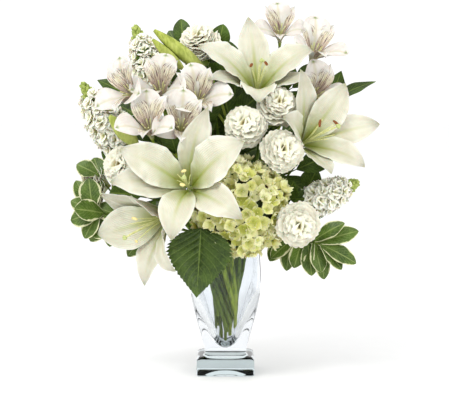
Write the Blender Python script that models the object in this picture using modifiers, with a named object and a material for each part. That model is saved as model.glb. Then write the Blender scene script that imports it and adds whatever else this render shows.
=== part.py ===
"""Cut lilies with mixed white flowers in a square-footed glass vase.

Run with: blender --background --python part.py
Metres, +Z up, front towards -Y. The origin is the middle of the vase foot's underside.
Sizes are written in millimetres and angles in degrees. A direction is (azimuth, elevation):
azimuth 0 faces the front and grows to the right, elevation is above the horizon.
"""

import math

import bmesh
import bpy
import numpy as np
from mathutils import Matrix, Vector

MM = 0.001

# ---------------------------------------------------------------- driving sizes: the vase
FOOT_HALF = 40.5  # half the width of the square foot
FOOT_CORNER = 5.0
FOOT_SIDE = 21.5  # height of the foot's upright sides
FOOT_TOP = 27.5  # height at which the body leaves the foot
PUNT_RADIUS = 28.0  # shallow dish under the foot
PUNT_DEPTH = 3.0
WAIST_HALF = 28.8  # half the body's width just above the foot
BELLY_HALF = 50.0  # half the body's width where it is widest
BELLY_HEIGHT = 138.0
NECK_HALF = 48.4
RIM_HALF = 50.5
RIM_HEIGHT = 193.0
WALL = 4.4  # wall of the upper body
FLOOR_HEIGHT = 38.0  # bottom of the hollow: the glass below it is solid
HOLLOW_HEIGHT = 120.0  # height at which the hollow's wall turns upright

# ---------------------------------------------------------------- driving sizes: stems
NECK_HEIGHT = RIM_HEIGHT - 21.0  # where the stems leave their straight run in the vase
NECK_CLEARANCE = 11.0  # from the vase's wall to the outer stems' middles, at the neck
FOOT_CLEARANCE = 4.8  # the same at the stems' feet
TWIST = 100.0  # how far round the vase a stem turns between its foot and the neck
# Ring of stems: places, height of their feet above the floor, how much nearer the middle than the
# outer ring they are at the foot and at the neck, azimuth of the first place.
RINGS = {
    "outer": (14, 23.0, 0.0, 0.0, -167.0),
    "inner": (7, 12.0, 9.0, 15.0, -140.0),
    "centre": (1, 5.0, None, None, 0.0),
}
FLOWER_DATUM = 193.0  # the rim height for which the flowers' places below are written
LILY_STEM = 6.2
FLOWER_STEM = 4.2
STOCK_STEM = 4.8
HYDRANGEA_STEM = 6.0
SPRIG_STEM = 3.4

# ---------------------------------------------------------------- driving sizes: flowers
TEPAL_THICKNESS = 1.3
LEAF_THICKNESS = 0.9
THROAT_RADIUS = 4.2  # radius of the circle that a lily's petals start from
OUTER_SET_BACK = 3.4  # how far the outer petals start behind the inner ones
PISTIL_LENGTH = 82.0
FILAMENT_LENGTH = 66.0
CARNATION_RADIUS = 29.0
ALSTROEMERIA_RADIUS = 29.0
ALSTROEMERIA_LENGTH = 43.0
HYDRANGEA_RADIUS = 64.0

# A lily: throat position, facing direction, and its petals. A petal is (whorl, angle round the
# flower anticlockwise from the viewer's right, length, half width, opening angle at the base and
# at the tip, sideways bend).
LILIES = {
    "front_lily": dict(
        throat=(-49, -113, 271),
        facing=(-10, 24),
        petals=(
            ("inner", 25, 112, 30, 34, 92, 0.05),
            ("inner", 160, 111, 26, 34, 84, 0.0),
            ("inner", 260, 100, 23, 34, 124, 0.05),
            ("outer", 86, 113, 19, 40, 64, -0.22),
            ("outer", 188, 112, 23, 40, 84, 0.0),
            ("outer", 324, 121, 22, 40, 92, 0.0),
        ),
    ),
    "low_lily": dict(
        throat=(-76, -92, 232),
        facing=(-52, -16),
        petals=(
            ("inner", 186, 103, 29, 30, 62, 0.0),
            ("inner", 68, 84, 22, 30, 50, 0.0),
            ("inner", 318, 102, 21, 31, 98, 0.0),
            ("outer", 140, 98, 18, 37, 62, 0.0),
            ("outer", 12, 66, 16, 37, 56, 0.0),
            ("outer", 260, 102, 23, 37, 78, 0.0),
        ),
    ),
    "top_lily": dict(
        throat=(44, -22, 399),
        facing=(4, 52),
        petals=(
            ("inner", 15, 100, 26, 34, 88, 0.06),
            ("inner", 165, 107, 26, 34, 90, -0.04),
            ("inner", 266, 77, 24, 34, 106, 0.0),
            ("outer", 93, 104, 21, 39, 48, 0.07),
            ("outer", 202, 90, 17, 40, 82, 0.0),
            ("outer", 336, 90, 16, 40, 84, 0.0),
        ),
    ),
    "right_lily": dict(
        throat=(107, -42, 327),
        facing=(34, 22),
        petals=(
            ("inner", 54, 102, 24, 33, 76, 0.0),
            ("inner", 317, 94, 20, 35, 90, 0.0),
            ("inner", 166, 94, 21, 33, 72, 0.0),
            ("outer", 108, 110, 19, 39, 66, 0.0),
            ("outer", 4, 114, 20, 39, 86, 0.0),
            ("outer", 262, 84, 18, 39, 52, 0.0),
        ),
    ),
}

# A lily bud: base, tip and greatest radius.
BUDS = {
    "top_bud": ((-26, -34, 424), (-98, -52, 483), 11.0),
    "small_bud": ((-58, -46, 430), (-100, -52, 471), 8.0),
    "left_bud": ((-120, -88, 328), (-156, -102, 367), 11.5),
}

# An alstroemeria bloom: throat position, facing direction, turn about its own axis.
ALSTROEMERIAS = {
    "alstroemeria_bloom_1": ((-99, -92, 336), (-12, 40), 0),
    "alstroemeria_bloom_2": ((-62, -78, 341), (6, 30), 20),
    "alstroemeria_bloom_3": ((-40, -47, 377), (8, 32), 40),
    "alstroemeria_bloom_4": ((-88, -44, 386), (-6, 42), 10),
    "alstroemeria_bloom_5": ((-117, -60, 388), (-40, 24), 30),
    "alstroemeria_bloom_6": ((78, 52, 468), (-2, 42), 0),
    "alstroemeria_bloom_7": ((121, 30, 438), (20, 46), 25),
    "alstroemeria_bloom_8": ((118, 16, 384), (26, 24), 50),
}

# A carnation: middle of the head and facing direction.
CARNATIONS = {
    "carnation_1": ((-36, -6, 466), (-20, 46)),
    "carnation_2": ((27, -84, 352), (-8, 22)),
    "carnation_3": ((71, -63, 377), (12, 34)),
    "carnation_4": ((76, -96, 320), (14, 12)),
    "carnation_5": ((98, -112, 221), (6, -2)),
    "carnation_6": ((-140, -60, 297), (-34, 14)),
    "carnation_7": ((-178, -28, 268), (-84, 2)),
}

# A stock spike: foot of the flowering part, its tip, greatest radius.
STOCKS = {
    "stock_left": ((-150, -24, 330), (-200, -30, 412), 24.0),
    "stock_top": ((-100, 4, 408), (-128, 4, 492), 22.0),
    "stock_right": ((122, -40, 246), (184, -44, 274), 22.0),
}

HYDRANGEA_HEAD = (20, -80, 242)
HYDRANGEA_FACING = (10, 8)
HYDRANGEA_LEAF = dict(base=(-33, -114, 216), toward=(-4, -82), length=88, half_width=38, roll=0)

# ---------------------------------------------------------------- materials
PETAL_WHITE = ("lily_white", (0.86, 0.85, 0.76), 0.55)
CENTRE_YELLOW = ("stamen_yellow", (0.72, 0.74, 0.28), 0.6)
STEM_GREEN = ("stem_green", (0.22, 0.33, 0.08), 0.5)
BLOOM_WHITE = ("bloom_white", (0.85, 0.82, 0.76), 0.6)
CARNATION_WHITE = ("carnation_white", (0.84, 0.82, 0.72), 0.7)
STOCK_WHITE = ("stock_white", (0.84, 0.82, 0.74), 0.7)
HYDRANGEA_GREEN = ("hydrangea_green", (0.66, 0.68, 0.34), 0.7)
LEAF_GREEN = ("leaf_green", (0.08, 0.16, 0.04), 0.45)
GLASS = ("clear_glass", (0.86, 0.9, 0.9), 0.03)


def material_of(finish):
    """The Principled material of a finish (name, colour, roughness), made once."""
    name, colour, roughness = finish
    material = bpy.data.materials.get(name)
    if material is None:
        material = bpy.data.materials.new(name)
        material.use_nodes = True
        shader = material.node_tree.nodes["Principled BSDF"]
        shader.inputs["Base Color"].default_value = (*colour, 1.0)
        shader.inputs["Roughness"].default_value = roughness
        shader.inputs["Metallic"].default_value = 0.0
        if finish is GLASS:
            shader.inputs["Transmission Weight"].default_value = 1.0
    return material


# ---------------------------------------------------------------- scene helpers
def clear_scene():
    for obj in list(bpy.data.objects):
        bpy.data.objects.remove(obj, do_unlink=True)


def new_collection(name, hidden=False):
    collection = bpy.data.collections.new(name)
    collection.hide_render = hidden
    bpy.context.scene.collection.children.link(collection)
    return collection


def link_object(name, data, finish, collection):
    obj = bpy.data.objects.new(name, data)
    collection.objects.link(obj)
    data.materials.append(material_of(finish))
    return obj


def smooth_shade(mesh):
    mesh.shade_smooth()
    mesh.set_sharp_from_angle(angle=math.radians(50))


def realised(obj, name):
    """A mesh copy of an object with its modifiers or bevel applied, in world space; the first is removed."""
    bpy.context.view_layer.update()
    graph = bpy.context.evaluated_depsgraph_get()
    mesh = bpy.data.meshes.new_from_object(obj.evaluated_get(graph))
    mesh.transform(obj.matrix_world)
    bm = bmesh.new()
    bm.from_mesh(mesh)
    bmesh.ops.remove_doubles(bm, verts=bm.verts, dist=0.00001)
    bm.to_mesh(mesh)
    bm.free()
    mesh.name = name
    home = obj.users_collection[0]
    bpy.data.objects.remove(obj, do_unlink=True)
    made = bpy.data.objects.new(name, mesh)
    home.objects.link(made)
    return made


def fused(name, pieces, finish, collection):
    """One body out of overlapping mesh pieces, by a Boolean union of the first with all the others."""
    base, others = pieces[0], pieces[1:]
    joined = bpy.data.collections.new(name + "_joined")
    bpy.context.scene.collection.children.link(joined)
    for piece in others:
        for home in piece.users_collection:
            home.objects.unlink(piece)
        joined.objects.link(piece)
    union = base.modifiers.new("union", "BOOLEAN")
    union.operation = "UNION"
    union.solver = "EXACT"
    union.operand_type = "COLLECTION"
    union.collection = joined
    whole = realised(base, name)
    for piece in others:
        bpy.data.objects.remove(piece, do_unlink=True)
    bpy.data.collections.remove(joined)
    whole.data.materials.clear()
    whole.data.materials.append(material_of(finish))
    smooth_shade(whole.data)
    return whole


# ---------------------------------------------------------------- directions and paths
def direction(azimuth, elevation):
    a, e = math.radians(azimuth), math.radians(elevation)
    return Vector((math.sin(a) * math.cos(e), -math.cos(a) * math.cos(e), math.sin(e)))


def placed(point):
    """A flower's place, in millimetres, carried up or down with the rim of the vase."""
    return Vector(point) + Vector((0, 0, RIM_HEIGHT - FLOWER_DATUM))


def facing_frame(position, facing, roll=0.0):
    """The matrix of a flower: local +Z is where it faces, local +X the viewer's right."""
    z = direction(*facing)
    x = Vector((math.cos(math.radians(facing[0])), math.sin(math.radians(facing[0])), 0))
    y = z.cross(x)
    turn = Matrix((x, y, z)).transposed().to_4x4()
    return Matrix.Translation(placed(position) * MM) @ turn @ Matrix.Rotation(math.radians(roll), 4, "Z")


def hollow_half(height):
    """Half the width of the hollow below the height where its wall turns upright."""
    share = (height - FLOOR_HEIGHT) / (HOLLOW_HEIGHT - FLOOR_HEIGHT)
    return (BELLY_HALF - WALL - 1.4) * share**0.47


def stem_station(ring, place):
    """Foot and neck of the straight run of the stem in this place of a ring, in millimetres.

    All the stems of a ring are rulings of one hyperboloid, so none of them meet.
    """
    count, foot_above, foot_inset, neck_inset, first = RINGS[ring]
    foot_height = FLOOR_HEIGHT + foot_above
    foot_radius = neck_radius = 0.0
    if foot_inset is not None:
        outer_foot = FLOOR_HEIGHT + RINGS["outer"][1]
        foot_radius = hollow_half(outer_foot) - FOOT_CLEARANCE - foot_inset
        neck_radius = NECK_HALF - WALL - NECK_CLEARANCE - neck_inset
    azimuth = first + place * 360.0 / count
    neck = direction(azimuth, 0) * neck_radius + Vector((0, 0, NECK_HEIGHT))
    foot = direction(azimuth + TWIST, 0) * foot_radius + Vector((0, 0, foot_height))
    cut_off = 0.09 * (place % 3)
    return foot.lerp(neck, cut_off), neck


def smooth_path(points, end_tangent=None, spacing=21.0):
    """Points along a Hermite spline through the given ones, in millimetres.

    The first stretch is straight. Tangents inside are those of a Catmull-Rom spline.
    """
    points = [Vector(p) for p in points]
    path = [points[0], points[1]]
    run = (points[1] - points[0]).normalized()
    for i in range(1, len(points) - 1):
        a, b = points[i], points[i + 1]
        reach = (b - a).length
        if i == 1:
            leave = run * reach
        else:
            leave = (b - points[i - 1]).normalized() * reach
        if i + 2 < len(points):
            arrive = (points[i + 2] - a).normalized() * reach
        elif end_tangent is not None:
            arrive = Vector(end_tangent).normalized() * reach
        else:
            arrive = (b - a).normalized() * reach
        steps = max(2, round(reach / spacing))
        for k in range(1, steps + 1):
            t = k / steps
            path.append(
                a * (2 * t**3 - 3 * t**2 + 1)
                + leave * (t**3 - 2 * t**2 + t)
                + b * (-2 * t**3 + 3 * t**2)
                + arrive * (t**3 - t**2)
            )
    return path


def stem_path(ring, place, *points, end_tangent=None):
    foot, neck = stem_station(ring, place)
    return smooth_path((foot, neck, *map(placed, points)), end_tangent)


def tube(name, path, radii, finish, collection, sides=6):
    """A round tube along a path in millimetres; radii is one radius or one for each point."""
    if isinstance(radii, (int, float)):
        radii = [radii] * len(path)
    curve = bpy.data.curves.new(name, "CURVE")
    curve.dimensions = "3D"
    curve.bevel_depth = MM
    curve.bevel_resolution = sides // 2 - 2
    curve.use_fill_caps = True
    spline = curve.splines.new("POLY")
    spline.points.add(len(path) - 1)
    for point, where, radius in zip(spline.points, path, radii):
        point.co = (*(where * MM), 1.0)
        point.radius = radius
    return link_object(name, curve, finish, collection)


def along(path, distance):
    """The point this far along a path from its end, and the direction of the path there."""
    left = distance
    for i in range(len(path) - 1, 0, -1):
        step = path[i] - path[i - 1]
        if left <= step.length or i == 1:
            return path[i] - step.normalized() * left, step.normalized()
        left -= step.length


# ---------------------------------------------------------------- the vase
def rounded_square(half, corner, height, arc_steps=4):
    """Points round a square with round corners, in millimetres."""
    points = []
    for quarter in range(4):
        middle = math.pi / 4 + quarter * math.pi / 2
        offset = half - corner
        centre = Vector((math.copysign(offset, math.cos(middle)), math.copysign(offset, math.sin(middle)), height))
        for k in range(arc_steps + 1):
            angle = (quarter + k / arc_steps) * math.pi / 2
            points.append(centre + corner * Vector((math.cos(angle), math.sin(angle), 0)))
    return points


def vase_profile():
    """(height, half width, corner radius) of each ring, from under the foot, over the rim, to the hollow's floor."""
    inner = BELLY_HALF - WALL
    lip = 2.0
    rings = [
        (PUNT_DEPTH, 7, 7),
        (PUNT_DEPTH * 0.75, PUNT_RADIUS * 0.66, PUNT_RADIUS * 0.66),
        (0, PUNT_RADIUS, PUNT_RADIUS),
        (0, FOOT_HALF - 1.5, FOOT_CORNER - 1),
        (1.5, FOOT_HALF, FOOT_CORNER),
        (FOOT_SIDE, FOOT_HALF, FOOT_CORNER),
        (FOOT_SIDE + 3, FOOT_HALF - 1.2, FOOT_CORNER),
        (FOOT_TOP - 0.8, FOOT_HALF - 4.5, FOOT_CORNER),
        (FOOT_TOP, WAIST_HALF + 2.5, FOOT_CORNER + 2),
        (FOOT_TOP + 1.2, WAIST_HALF + 0.6, FOOT_CORNER + 3),
        (FOOT_TOP + 4, WAIST_HALF, FOOT_CORNER + 4),
    ]
    body_steps = 7
    for k in range(1, body_steps + 1):
        t = k / body_steps
        swell = math.sin(t * math.pi / 2) ** 1.25
        height = FOOT_TOP + 4 + (BELLY_HEIGHT - FOOT_TOP - 4) * t
        rings.append((height, WAIST_HALF + (BELLY_HALF - WAIST_HALF) * swell, 9 + 11 * t))
    rings += [
        (BELLY_HEIGHT + 18, BELLY_HALF - 0.7, 20),
        (NECK_HEIGHT + 2, NECK_HALF, 20),
        (RIM_HEIGHT - 5, RIM_HALF - 0.7, 20),
        (RIM_HEIGHT - 1, RIM_HALF, 20),
        (RIM_HEIGHT, RIM_HALF - 1, 19.5),
        (RIM_HEIGHT, RIM_HALF - 2 - lip, 18.5),
        (RIM_HEIGHT - 1, RIM_HALF - 3 - lip, 18),
        (RIM_HEIGHT - 6, RIM_HALF - 3.8 - lip, 18),
        (NECK_HEIGHT + 2, NECK_HALF - WALL, 18),
        (BELLY_HEIGHT + 12, inner - 0.3, 19),
    ]
    for t in (1.0, 0.82, 0.64, 0.47, 0.32, 0.2, 0.1, 0.03):
        height = FLOOR_HEIGHT + (HOLLOW_HEIGHT - FLOOR_HEIGHT) * t
        half = hollow_half(height)
        rings.append((height, half, min(half, 20 + 10 * (1 - t))))
    rings.append((FLOOR_HEIGHT, 4, 4))
    return rings


def make_vase(collection):
    """One piece of glass: rings of one point count, each joined to the next, closed by a disc at both ends."""
    bm = bmesh.new()
    rings = [
        [bm.verts.new(p * MM) for p in rounded_square(half, corner, height)]
        for height, half, corner in vase_profile()
    ]
    for low, high in zip(rings, rings[1:]):
        for k in range(len(low)):
            after = (k + 1) % len(low)
            bm.faces.new((low[k], low[after], high[after], high[k]))
    bm.faces.new(list(reversed(rings[0])))
    bm.faces.new(rings[-1])
    bmesh.ops.recalc_face_normals(bm, faces=bm.faces)
    mesh = bpy.data.meshes.new("vase")
    bm.to_mesh(mesh)
    bm.free()
    smooth_shade(mesh)
    link_object("vase", mesh, GLASS, collection)


# ---------------------------------------------------------------- petals and leaves
def blade_mesh(name, across, lengthwise, shape):
    """A grid of faces whose points are shape(u, v): u runs 0 to 1 along the blade, v -1 to 1 across it."""
    bm = bmesh.new()
    bmesh.ops.create_grid(bm, x_segments=across, y_segments=lengthwise, size=1.0)
    for vert in bm.verts:
        vert.co = Vector(shape((vert.co.y + 1) / 2, vert.co.x)) * MM
    mesh = bpy.data.meshes.new(name)
    bm.to_mesh(mesh)
    bm.free()
    return mesh


def thicken(obj, thickness):
    modifier = obj.modifiers.new("thickness", "SOLIDIFY")
    modifier.thickness = thickness * MM
    modifier.offset = 0.0
    modifier.use_even_offset = True


def blade_half_width(u, half_width, root, fullness, peak):
    """Half width along a blade: narrow at the root, widest at peak, closing to a point."""
    swell = math.sin(math.pi * u ** (math.log(0.5) / math.log(peak))) ** fullness if 0 < u < 1 else 0.0
    return max(root * (1 - u), 0.7) + (half_width - 0.7) * swell


def tepal_shape(length, half_width, open_base, open_tip, bend, start, set_back):
    """A lily petal: its middle line leaves the throat at open_base from the axis and reaches open_tip."""
    steps = 40
    line = [(start, -set_back)]
    for k in range(steps):
        u = (k + 0.5) / steps
        angle = math.radians(open_base + (open_tip - open_base) * u**1.7)
        r, z = line[-1]
        line.append((r + math.sin(angle) * length / steps, z + math.cos(angle) * length / steps))

    def shape(u, v):
        k = min(int(u * steps), steps - 1)
        part = u * steps - k
        r = line[k][0] + (line[k + 1][0] - line[k][0]) * part
        z = line[k][1] + (line[k + 1][1] - line[k][1]) * part
        angle = math.radians(open_base + (open_tip - open_base) * u**1.7)
        width = blade_half_width(u, half_width, 3.4, 0.95, 0.56)
        side = v * width + bend * length * u * u
        cup = width * (0.34 - 0.2 * u) * (abs(v) ** 1.8)
        return (r - math.cos(angle) * cup, side, z + math.sin(angle) * cup)

    return shape


def make_lily(name, throat, facing, petals, collection):
    """The six petals and the centre of one open lily."""
    frame = facing_frame(throat, facing)
    count = {"inner": 0, "outer": 0}
    for whorl, angle, length, half_width, open_base, open_tip, bend in petals:
        count[whorl] += 1
        node = f"{name}_{whorl}_petal_{count[whorl]}"
        start = THROAT_RADIUS if whorl == "inner" else THROAT_RADIUS + 1.0
        set_back = 0.0 if whorl == "inner" else OUTER_SET_BACK
        shape = tepal_shape(length, half_width, open_base, open_tip, bend, start, set_back)
        mesh = blade_mesh(node, 4, 7, shape)
        smooth_shade(mesh)
        petal = link_object(node, mesh, PETAL_WHITE, collection)
        petal.matrix_world = frame @ Matrix.Rotation(math.radians(angle), 4, "Z")
        thicken(petal, TEPAL_THICKNESS)
    make_lily_centre(name + "_stamens", frame, collection)


def make_lily_centre(name, frame, collection):
    """The pistil with the six stamens round it, grown together at their foot."""
    to_world = [frame @ (Vector((0, 0, z)) * MM) / MM for z in (-4.0, 6.0, 30.0, 58.0, PISTIL_LENGTH, PISTIL_LENGTH + 4)]
    pistil = realised(tube(name + "_pistil", to_world, (2.4, 2.4, 1.3, 1.1, 1.6, 3.0), CENTRE_YELLOW, collection), name)
    pieces = [pistil]
    for k in range(6):
        angle = math.radians(30 + 60 * k)
        out = Vector((math.cos(angle), math.sin(angle), 0))
        path = []
        for t in (0.0, 0.3, 0.7, 0.9, 1.0):
            lean = 0.6 + 15.0 * t**1.4
            path.append(frame @ ((out * lean + Vector((0, 0, 1 + FILAMENT_LENGTH * t))) * MM) / MM)
        stamen = tube(f"{name}_{k}", path, (1.2, 0.9, 0.8, 2.0, 1.6), CENTRE_YELLOW, collection, sides=4)
        pieces.append(realised(stamen, f"{name}_{k}"))
    return fused(name, pieces, CENTRE_YELLOW, collection)


def bud_path(base, tip, radius):
    """A lily bud as a path with radii: a short neck, a full middle and a blunt point."""
    base, tip = placed(base), placed(tip)
    steps = 7
    path, radii = [], []
    for k in range(steps + 1):
        t = k / steps
        path.append(base.lerp(tip, t))
        radii.append(max(2.4, radius * math.sin(math.pi * (0.08 + 0.84 * t**0.9)) ** 0.75))
    return path, radii


def leaf_shape(length, half_width, peak, fullness, droop, fold, teeth=0):
    """A leaf lying along +Y with its upper side to +Z, bending down by droop degrees to its tip."""

    def shape(u, v):
        width = blade_half_width(u, half_width, 1.2, fullness, peak)
        width *= 1 + (0.06 * math.sin(u * teeth * math.pi * 2) if teeth else 0.0)
        bend = math.radians(droop) * u
        reach = math.sin(bend) / bend if abs(bend) > 1e-6 else 1.0
        fall = (1 - math.cos(bend)) / bend if abs(bend) > 1e-6 else 0.0
        return (v * width, length * u * reach, -length * u * fall + fold * width * abs(v))

    return shape


def leaf_frame(base, toward, face, roll=0.0):
    """The matrix of a leaf at base: its +Y points toward a direction and its upper side, +Z, as near to face as it can."""
    y = direction(*toward)
    x = y.cross(direction(*face)).normalized()
    z = x.cross(y)
    turn = Matrix((x, y, z)).transposed().to_4x4()
    return Matrix.Translation(Vector(base) * MM) @ turn @ Matrix.Rotation(math.radians(roll), 4, "Y")


# ---------------------------------------------------------------- sprigs of foliage
# A sprig: ring and place of its stem, the points that the stem passes, the way its leaves face, and
# the leaves. A leaf is (distance from the stem's tip, direction, length, half width, roll).
def alternate(count, spacing, heading, spread, length, half_width):
    """Leaves on both sides of a twig in turn, behind one that goes on along its heading."""
    leaves = [(0, heading, length, half_width, 0)]
    for k in range(1, count):
        side = 1 if k % 2 else -1
        toward = (heading[0] + side * spread, heading[1] - 14 - 7 * k)
        leaves.append((k * spacing, toward, length * (1 - 0.03 * k), half_width, 0))
    return tuple(leaves)


BROAD = dict(peak=0.6, fullness=0.7, fold=0.12)
POINTED = dict(peak=0.42, fullness=1.0, fold=0.16)
SPRIGS = {
    "pittosporum_left": dict(
        ring=("outer", 5),
        points=((-40, -32, 198), (-82, -50, 214), (-140, -62, 226), (-184, -66, 236)),
        style=BROAD,
        face=(-10, 30),
        leaves=(
            (0, (-110, 62), 50, 12, 10),
            (4, (-80, 28), 36, 12, 0),
            (12, (-70, -50), 42, 14, 10),
            (22, (-100, -34), 46, 12, -20),
            (34, (-60, -70), 44, 13, 10),
            (92, (-76, -42), 62, 15, 0),
        ),
    ),
    "pittosporum_right": dict(
        ring=("outer", 10),
        points=((43, -2, 199), (82, -30, 199), (130, -70, 190)),
        style=BROAD,
        face=(10, 40),
        leaves=(
            (0, (66, -40), 46, 11, 0),
            (5, (80, 22), 60, 13, 10),
            (12, (30, -56), 44, 12, 0),
            (18, (84, -10), 58, 11, -20),
            (30, (-30, -50), 44, 12, 10),
            (44, (-50, -26), 48, 11, 0),
        ),
    ),
    "salal_back": dict(
        ring=("inner", 0),
        points=((-24, 40, 300), (-50, 60, 400), (-60, 56, 458)),
        style=BROAD,
        face=(0, 20),
        leaves=(
            (0, (-60, 84), 46, 13, 0),
            (8, (80, 56), 48, 12, 10),
            (10, (-90, 58), 46, 12, -10),
            (44, (150, 30), 52, 17, 0),
            (70, (-150, 28), 52, 17, 0),
        ),
    ),
    "ruscus_left": dict(
        ring=("outer", 1),
        points=((-70, 30, 250), (-122, 40, 350), (-146, 36, 402)),
        style=POINTED,
        face=(-20, 30),
        leaves=(
            (0, (-60, 70), 42, 11, 10),
            (8, (-80, 30), 46, 12, 0),
            (20, (100, 64), 44, 11, 0),
            (40, (-130, 24), 48, 13, 0),
            (62, (170, 16), 48, 13, 0),
        ),
    ),
    "ruscus_right": dict(
        ring=("outer", 13),
        points=((70, 34, 250), (124, 44, 330), (154, 36, 386)),
        style=POINTED,
        face=(0, 50),
        leaves=(
            (0, (86, 32), 68, 11, 0),
            (8, (60, 74), 52, 17, 0),
            (18, (130, 40), 48, 13, 0),
            (40, (84, -16), 54, 12, 0),
            (60, (150, 10), 48, 13, 0),
        ),
    ),
    "salal_rear": dict(
        ring=("outer", 0),
        points=((0, 64, 228), (0, 122, 300), (2, 140, 378)),
        style=BROAD,
        face=(180, 30),
        leaves=alternate(6, 21, (176, 70), 58, 60, 19) + ((104, (182, 6), 92, 22, 0),),
        twigs=(
            (104, ((34, 104, 286), (84, 116, 330)), alternate(5, 17, (120, 46), 52, 52, 17)),
            (122, ((-36, 104, 276), (-84, 118, 322)), alternate(5, 17, (-120, 46), 52, 52, 17)),
        ),
    ),
}


def make_leaf(name, base, toward, length, half_width, face, roll, style, droop, collection):
    shape = leaf_shape(length, half_width, style["peak"], style["fullness"], droop, style["fold"])
    leaf = link_object(name, blade_mesh(name, 2, 4, shape), LEAF_GREEN, collection)
    leaf.matrix_world = leaf_frame(base, toward, face, roll)
    thicken(leaf, LEAF_THICKNESS)
    return leaf


def twig_pieces(name, path, radius, style, face, leaves, collection):
    """The pieces of one twig: its round stalk, thinner at the tip, and its leaves."""
    radii = [radius] * (len(path) - 1) + [radius * 0.6]
    pieces = [realised(tube(name, path, radii, LEAF_GREEN, collection), name)]
    for k, (back, toward, length, half_width, roll) in enumerate(leaves):
        base, _ = along(path, back)
        leaf = make_leaf(f"{name}_{k}", base, toward, length, half_width, face, roll, style, 24, collection)
        pieces.append(realised(leaf, f"{name}_{k}"))
    return pieces


def make_sprig(name, ring, points, style, face, leaves, collection, twigs=()):
    """A twig with its leaves and side twigs, one grown piece.

    A side twig is (distance of its foot from the main tip, the points it passes, its leaves).
    """
    path = stem_path(*ring, *points)
    pieces = twig_pieces(name, path, SPRIG_STEM / 2, style, face, leaves, collection)
    for k, (back, side_points, side_leaves) in enumerate(twigs):
        side_path = smooth_path((along(path, back)[0], *map(placed, side_points)))
        pieces += twig_pieces(f"{name}_side_{k}", side_path, SPRIG_STEM * 0.4, style, face, side_leaves, collection)
    return fused(name, pieces, LEAF_GREEN, collection)


# ---------------------------------------------------------------- stems that carry several flowers
def make_lily_stem(name, ring, points, branches, buds, collection):
    """A lily's stem with a short branch to each bloom and its buds.

    A branch is (distance from the stem's tip, lily name); it ends just behind that lily's petals.
    """
    path = stem_path(*ring, *points)
    radius = LILY_STEM / 2
    radii = [radius] * (len(path) - 3) + [radius * 0.9, radius * 0.75, radius * 0.6]
    pieces = [realised(tube(name, path, radii, STEM_GREEN, collection), name)]
    for k, (back, lily) in enumerate(branches):
        start, leave = along(path, back)
        behind = direction(*LILIES[lily]["facing"])
        throat = placed(LILIES[lily]["throat"])
        end = throat - behind * (OUTER_SET_BACK + 4.0)
        turn = end - behind * 14
        middle = start.lerp(turn, 0.5) + leave * 3
        branch = tube(f"{name}_{k}", [start, middle, turn, end], (2.0, 1.9, 2.0, 3.0), STEM_GREEN, collection)
        pieces.append(realised(branch, f"{name}_{k}"))
    for k, (back, bud) in enumerate(buds):
        start, leave = along(path, back)
        bud_line, bud_radii = bud_path(*BUDS[bud])
        first = bud_line[0] - (bud_line[1] - bud_line[0]).normalized() * 9
        middle = start.lerp(first, 0.5) + leave * 3
        whole = [start, middle, first] + bud_line
        branch = tube(f"{name}_bud_{k}", whole, [1.9, 1.9, 1.9] + bud_radii, STEM_GREEN, collection, sides=8)
        pieces.append(realised(branch, f"{name}_bud_{k}"))
    return fused(name, pieces, STEM_GREEN, collection)


def make_alstroemeria_stem(name, ring, points, blooms, collection):
    """A stem that parts at its tip into a stalk for each bloom."""
    path = stem_path(*ring, *points)
    pieces = [realised(tube(name, path, FLOWER_STEM / 2, STEM_GREEN, collection), name)]
    tip = path[-1] - (path[-1] - path[-2]).normalized() * 2
    for k, bloom in enumerate(blooms):
        throat, facing, _ = ALSTROEMERIAS[bloom]
        behind = direction(*facing)
        end = placed(throat) - behind * 2.4
        turn = end - behind * 16
        stalk = tube(f"{name}_{k}", [tip, tip.lerp(turn, 0.55), turn, end], (1.5, 1.3, 1.3, 2.2), STEM_GREEN, collection)
        pieces.append(realised(stalk, f"{name}_{k}"))
    return fused(name, pieces, STEM_GREEN, collection)


def make_alstroemeria_bloom(name, throat, facing, roll, collection):
    """An open funnel with six lobes, closed at the throat."""
    around, rows = 18, 4

    def shape(u, v):
        angle = math.pi * (v + 1)
        lobe = 0.66 + 0.34 * abs(math.cos(3 * angle))
        flare = u ** 1.5
        radius = (2.0 * min(1.0, 6 * u) + (ALSTROEMERIA_RADIUS - 2.0) * flare) * (1 - (1 - lobe) * u)
        height = ALSTROEMERIA_LENGTH * math.sin(u * math.pi / 2) * (1 - 0.24 * (1 - lobe) * u)
        return (radius * math.cos(angle), radius * math.sin(angle), height)

    mesh = blade_mesh(name, around, rows, shape)
    bm = bmesh.new()
    bm.from_mesh(mesh)
    bmesh.ops.remove_doubles(bm, verts=bm.verts, dist=0.00001)
    bmesh.ops.recalc_face_normals(bm, faces=bm.faces)
    bm.to_mesh(mesh)
    bm.free()
    smooth_shade(mesh)
    bloom = link_object(name, mesh, BLOOM_WHITE, collection)
    bloom.matrix_world = facing_frame(throat, facing, roll)
    thicken(bloom, TEPAL_THICKNESS)


# ---------------------------------------------------------------- flowers on one stem each
def flower_on_stem(name, path, stem_radius, head, finish, collection):
    """A stem whose tube swells into the flower's head: head is a list of (point, radius)."""
    points = list(path) + [point for point, _ in head]
    radii = [stem_radius] * len(path) + [radius for _, radius in head]
    return tube(name, points, radii, finish, collection, sides=8)


def ball_head(middle, facing, radius, depth):
    """A round head about a point, as (point, radius): its calyx, then its crown, depth thick."""
    face = direction(*facing)
    middle = placed(middle)
    head = [
        (middle - face * (depth + 12), 5.0),
        (middle - face * (depth + 1), 7.0),
    ]
    for t in (-0.85, -0.5, 0.0, 0.5, 0.85, 1.0):
        head.append((middle + face * depth * t, radius * math.sqrt(max(0.0, 1 - (0.96 * t) ** 2))))
    return head


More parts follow.
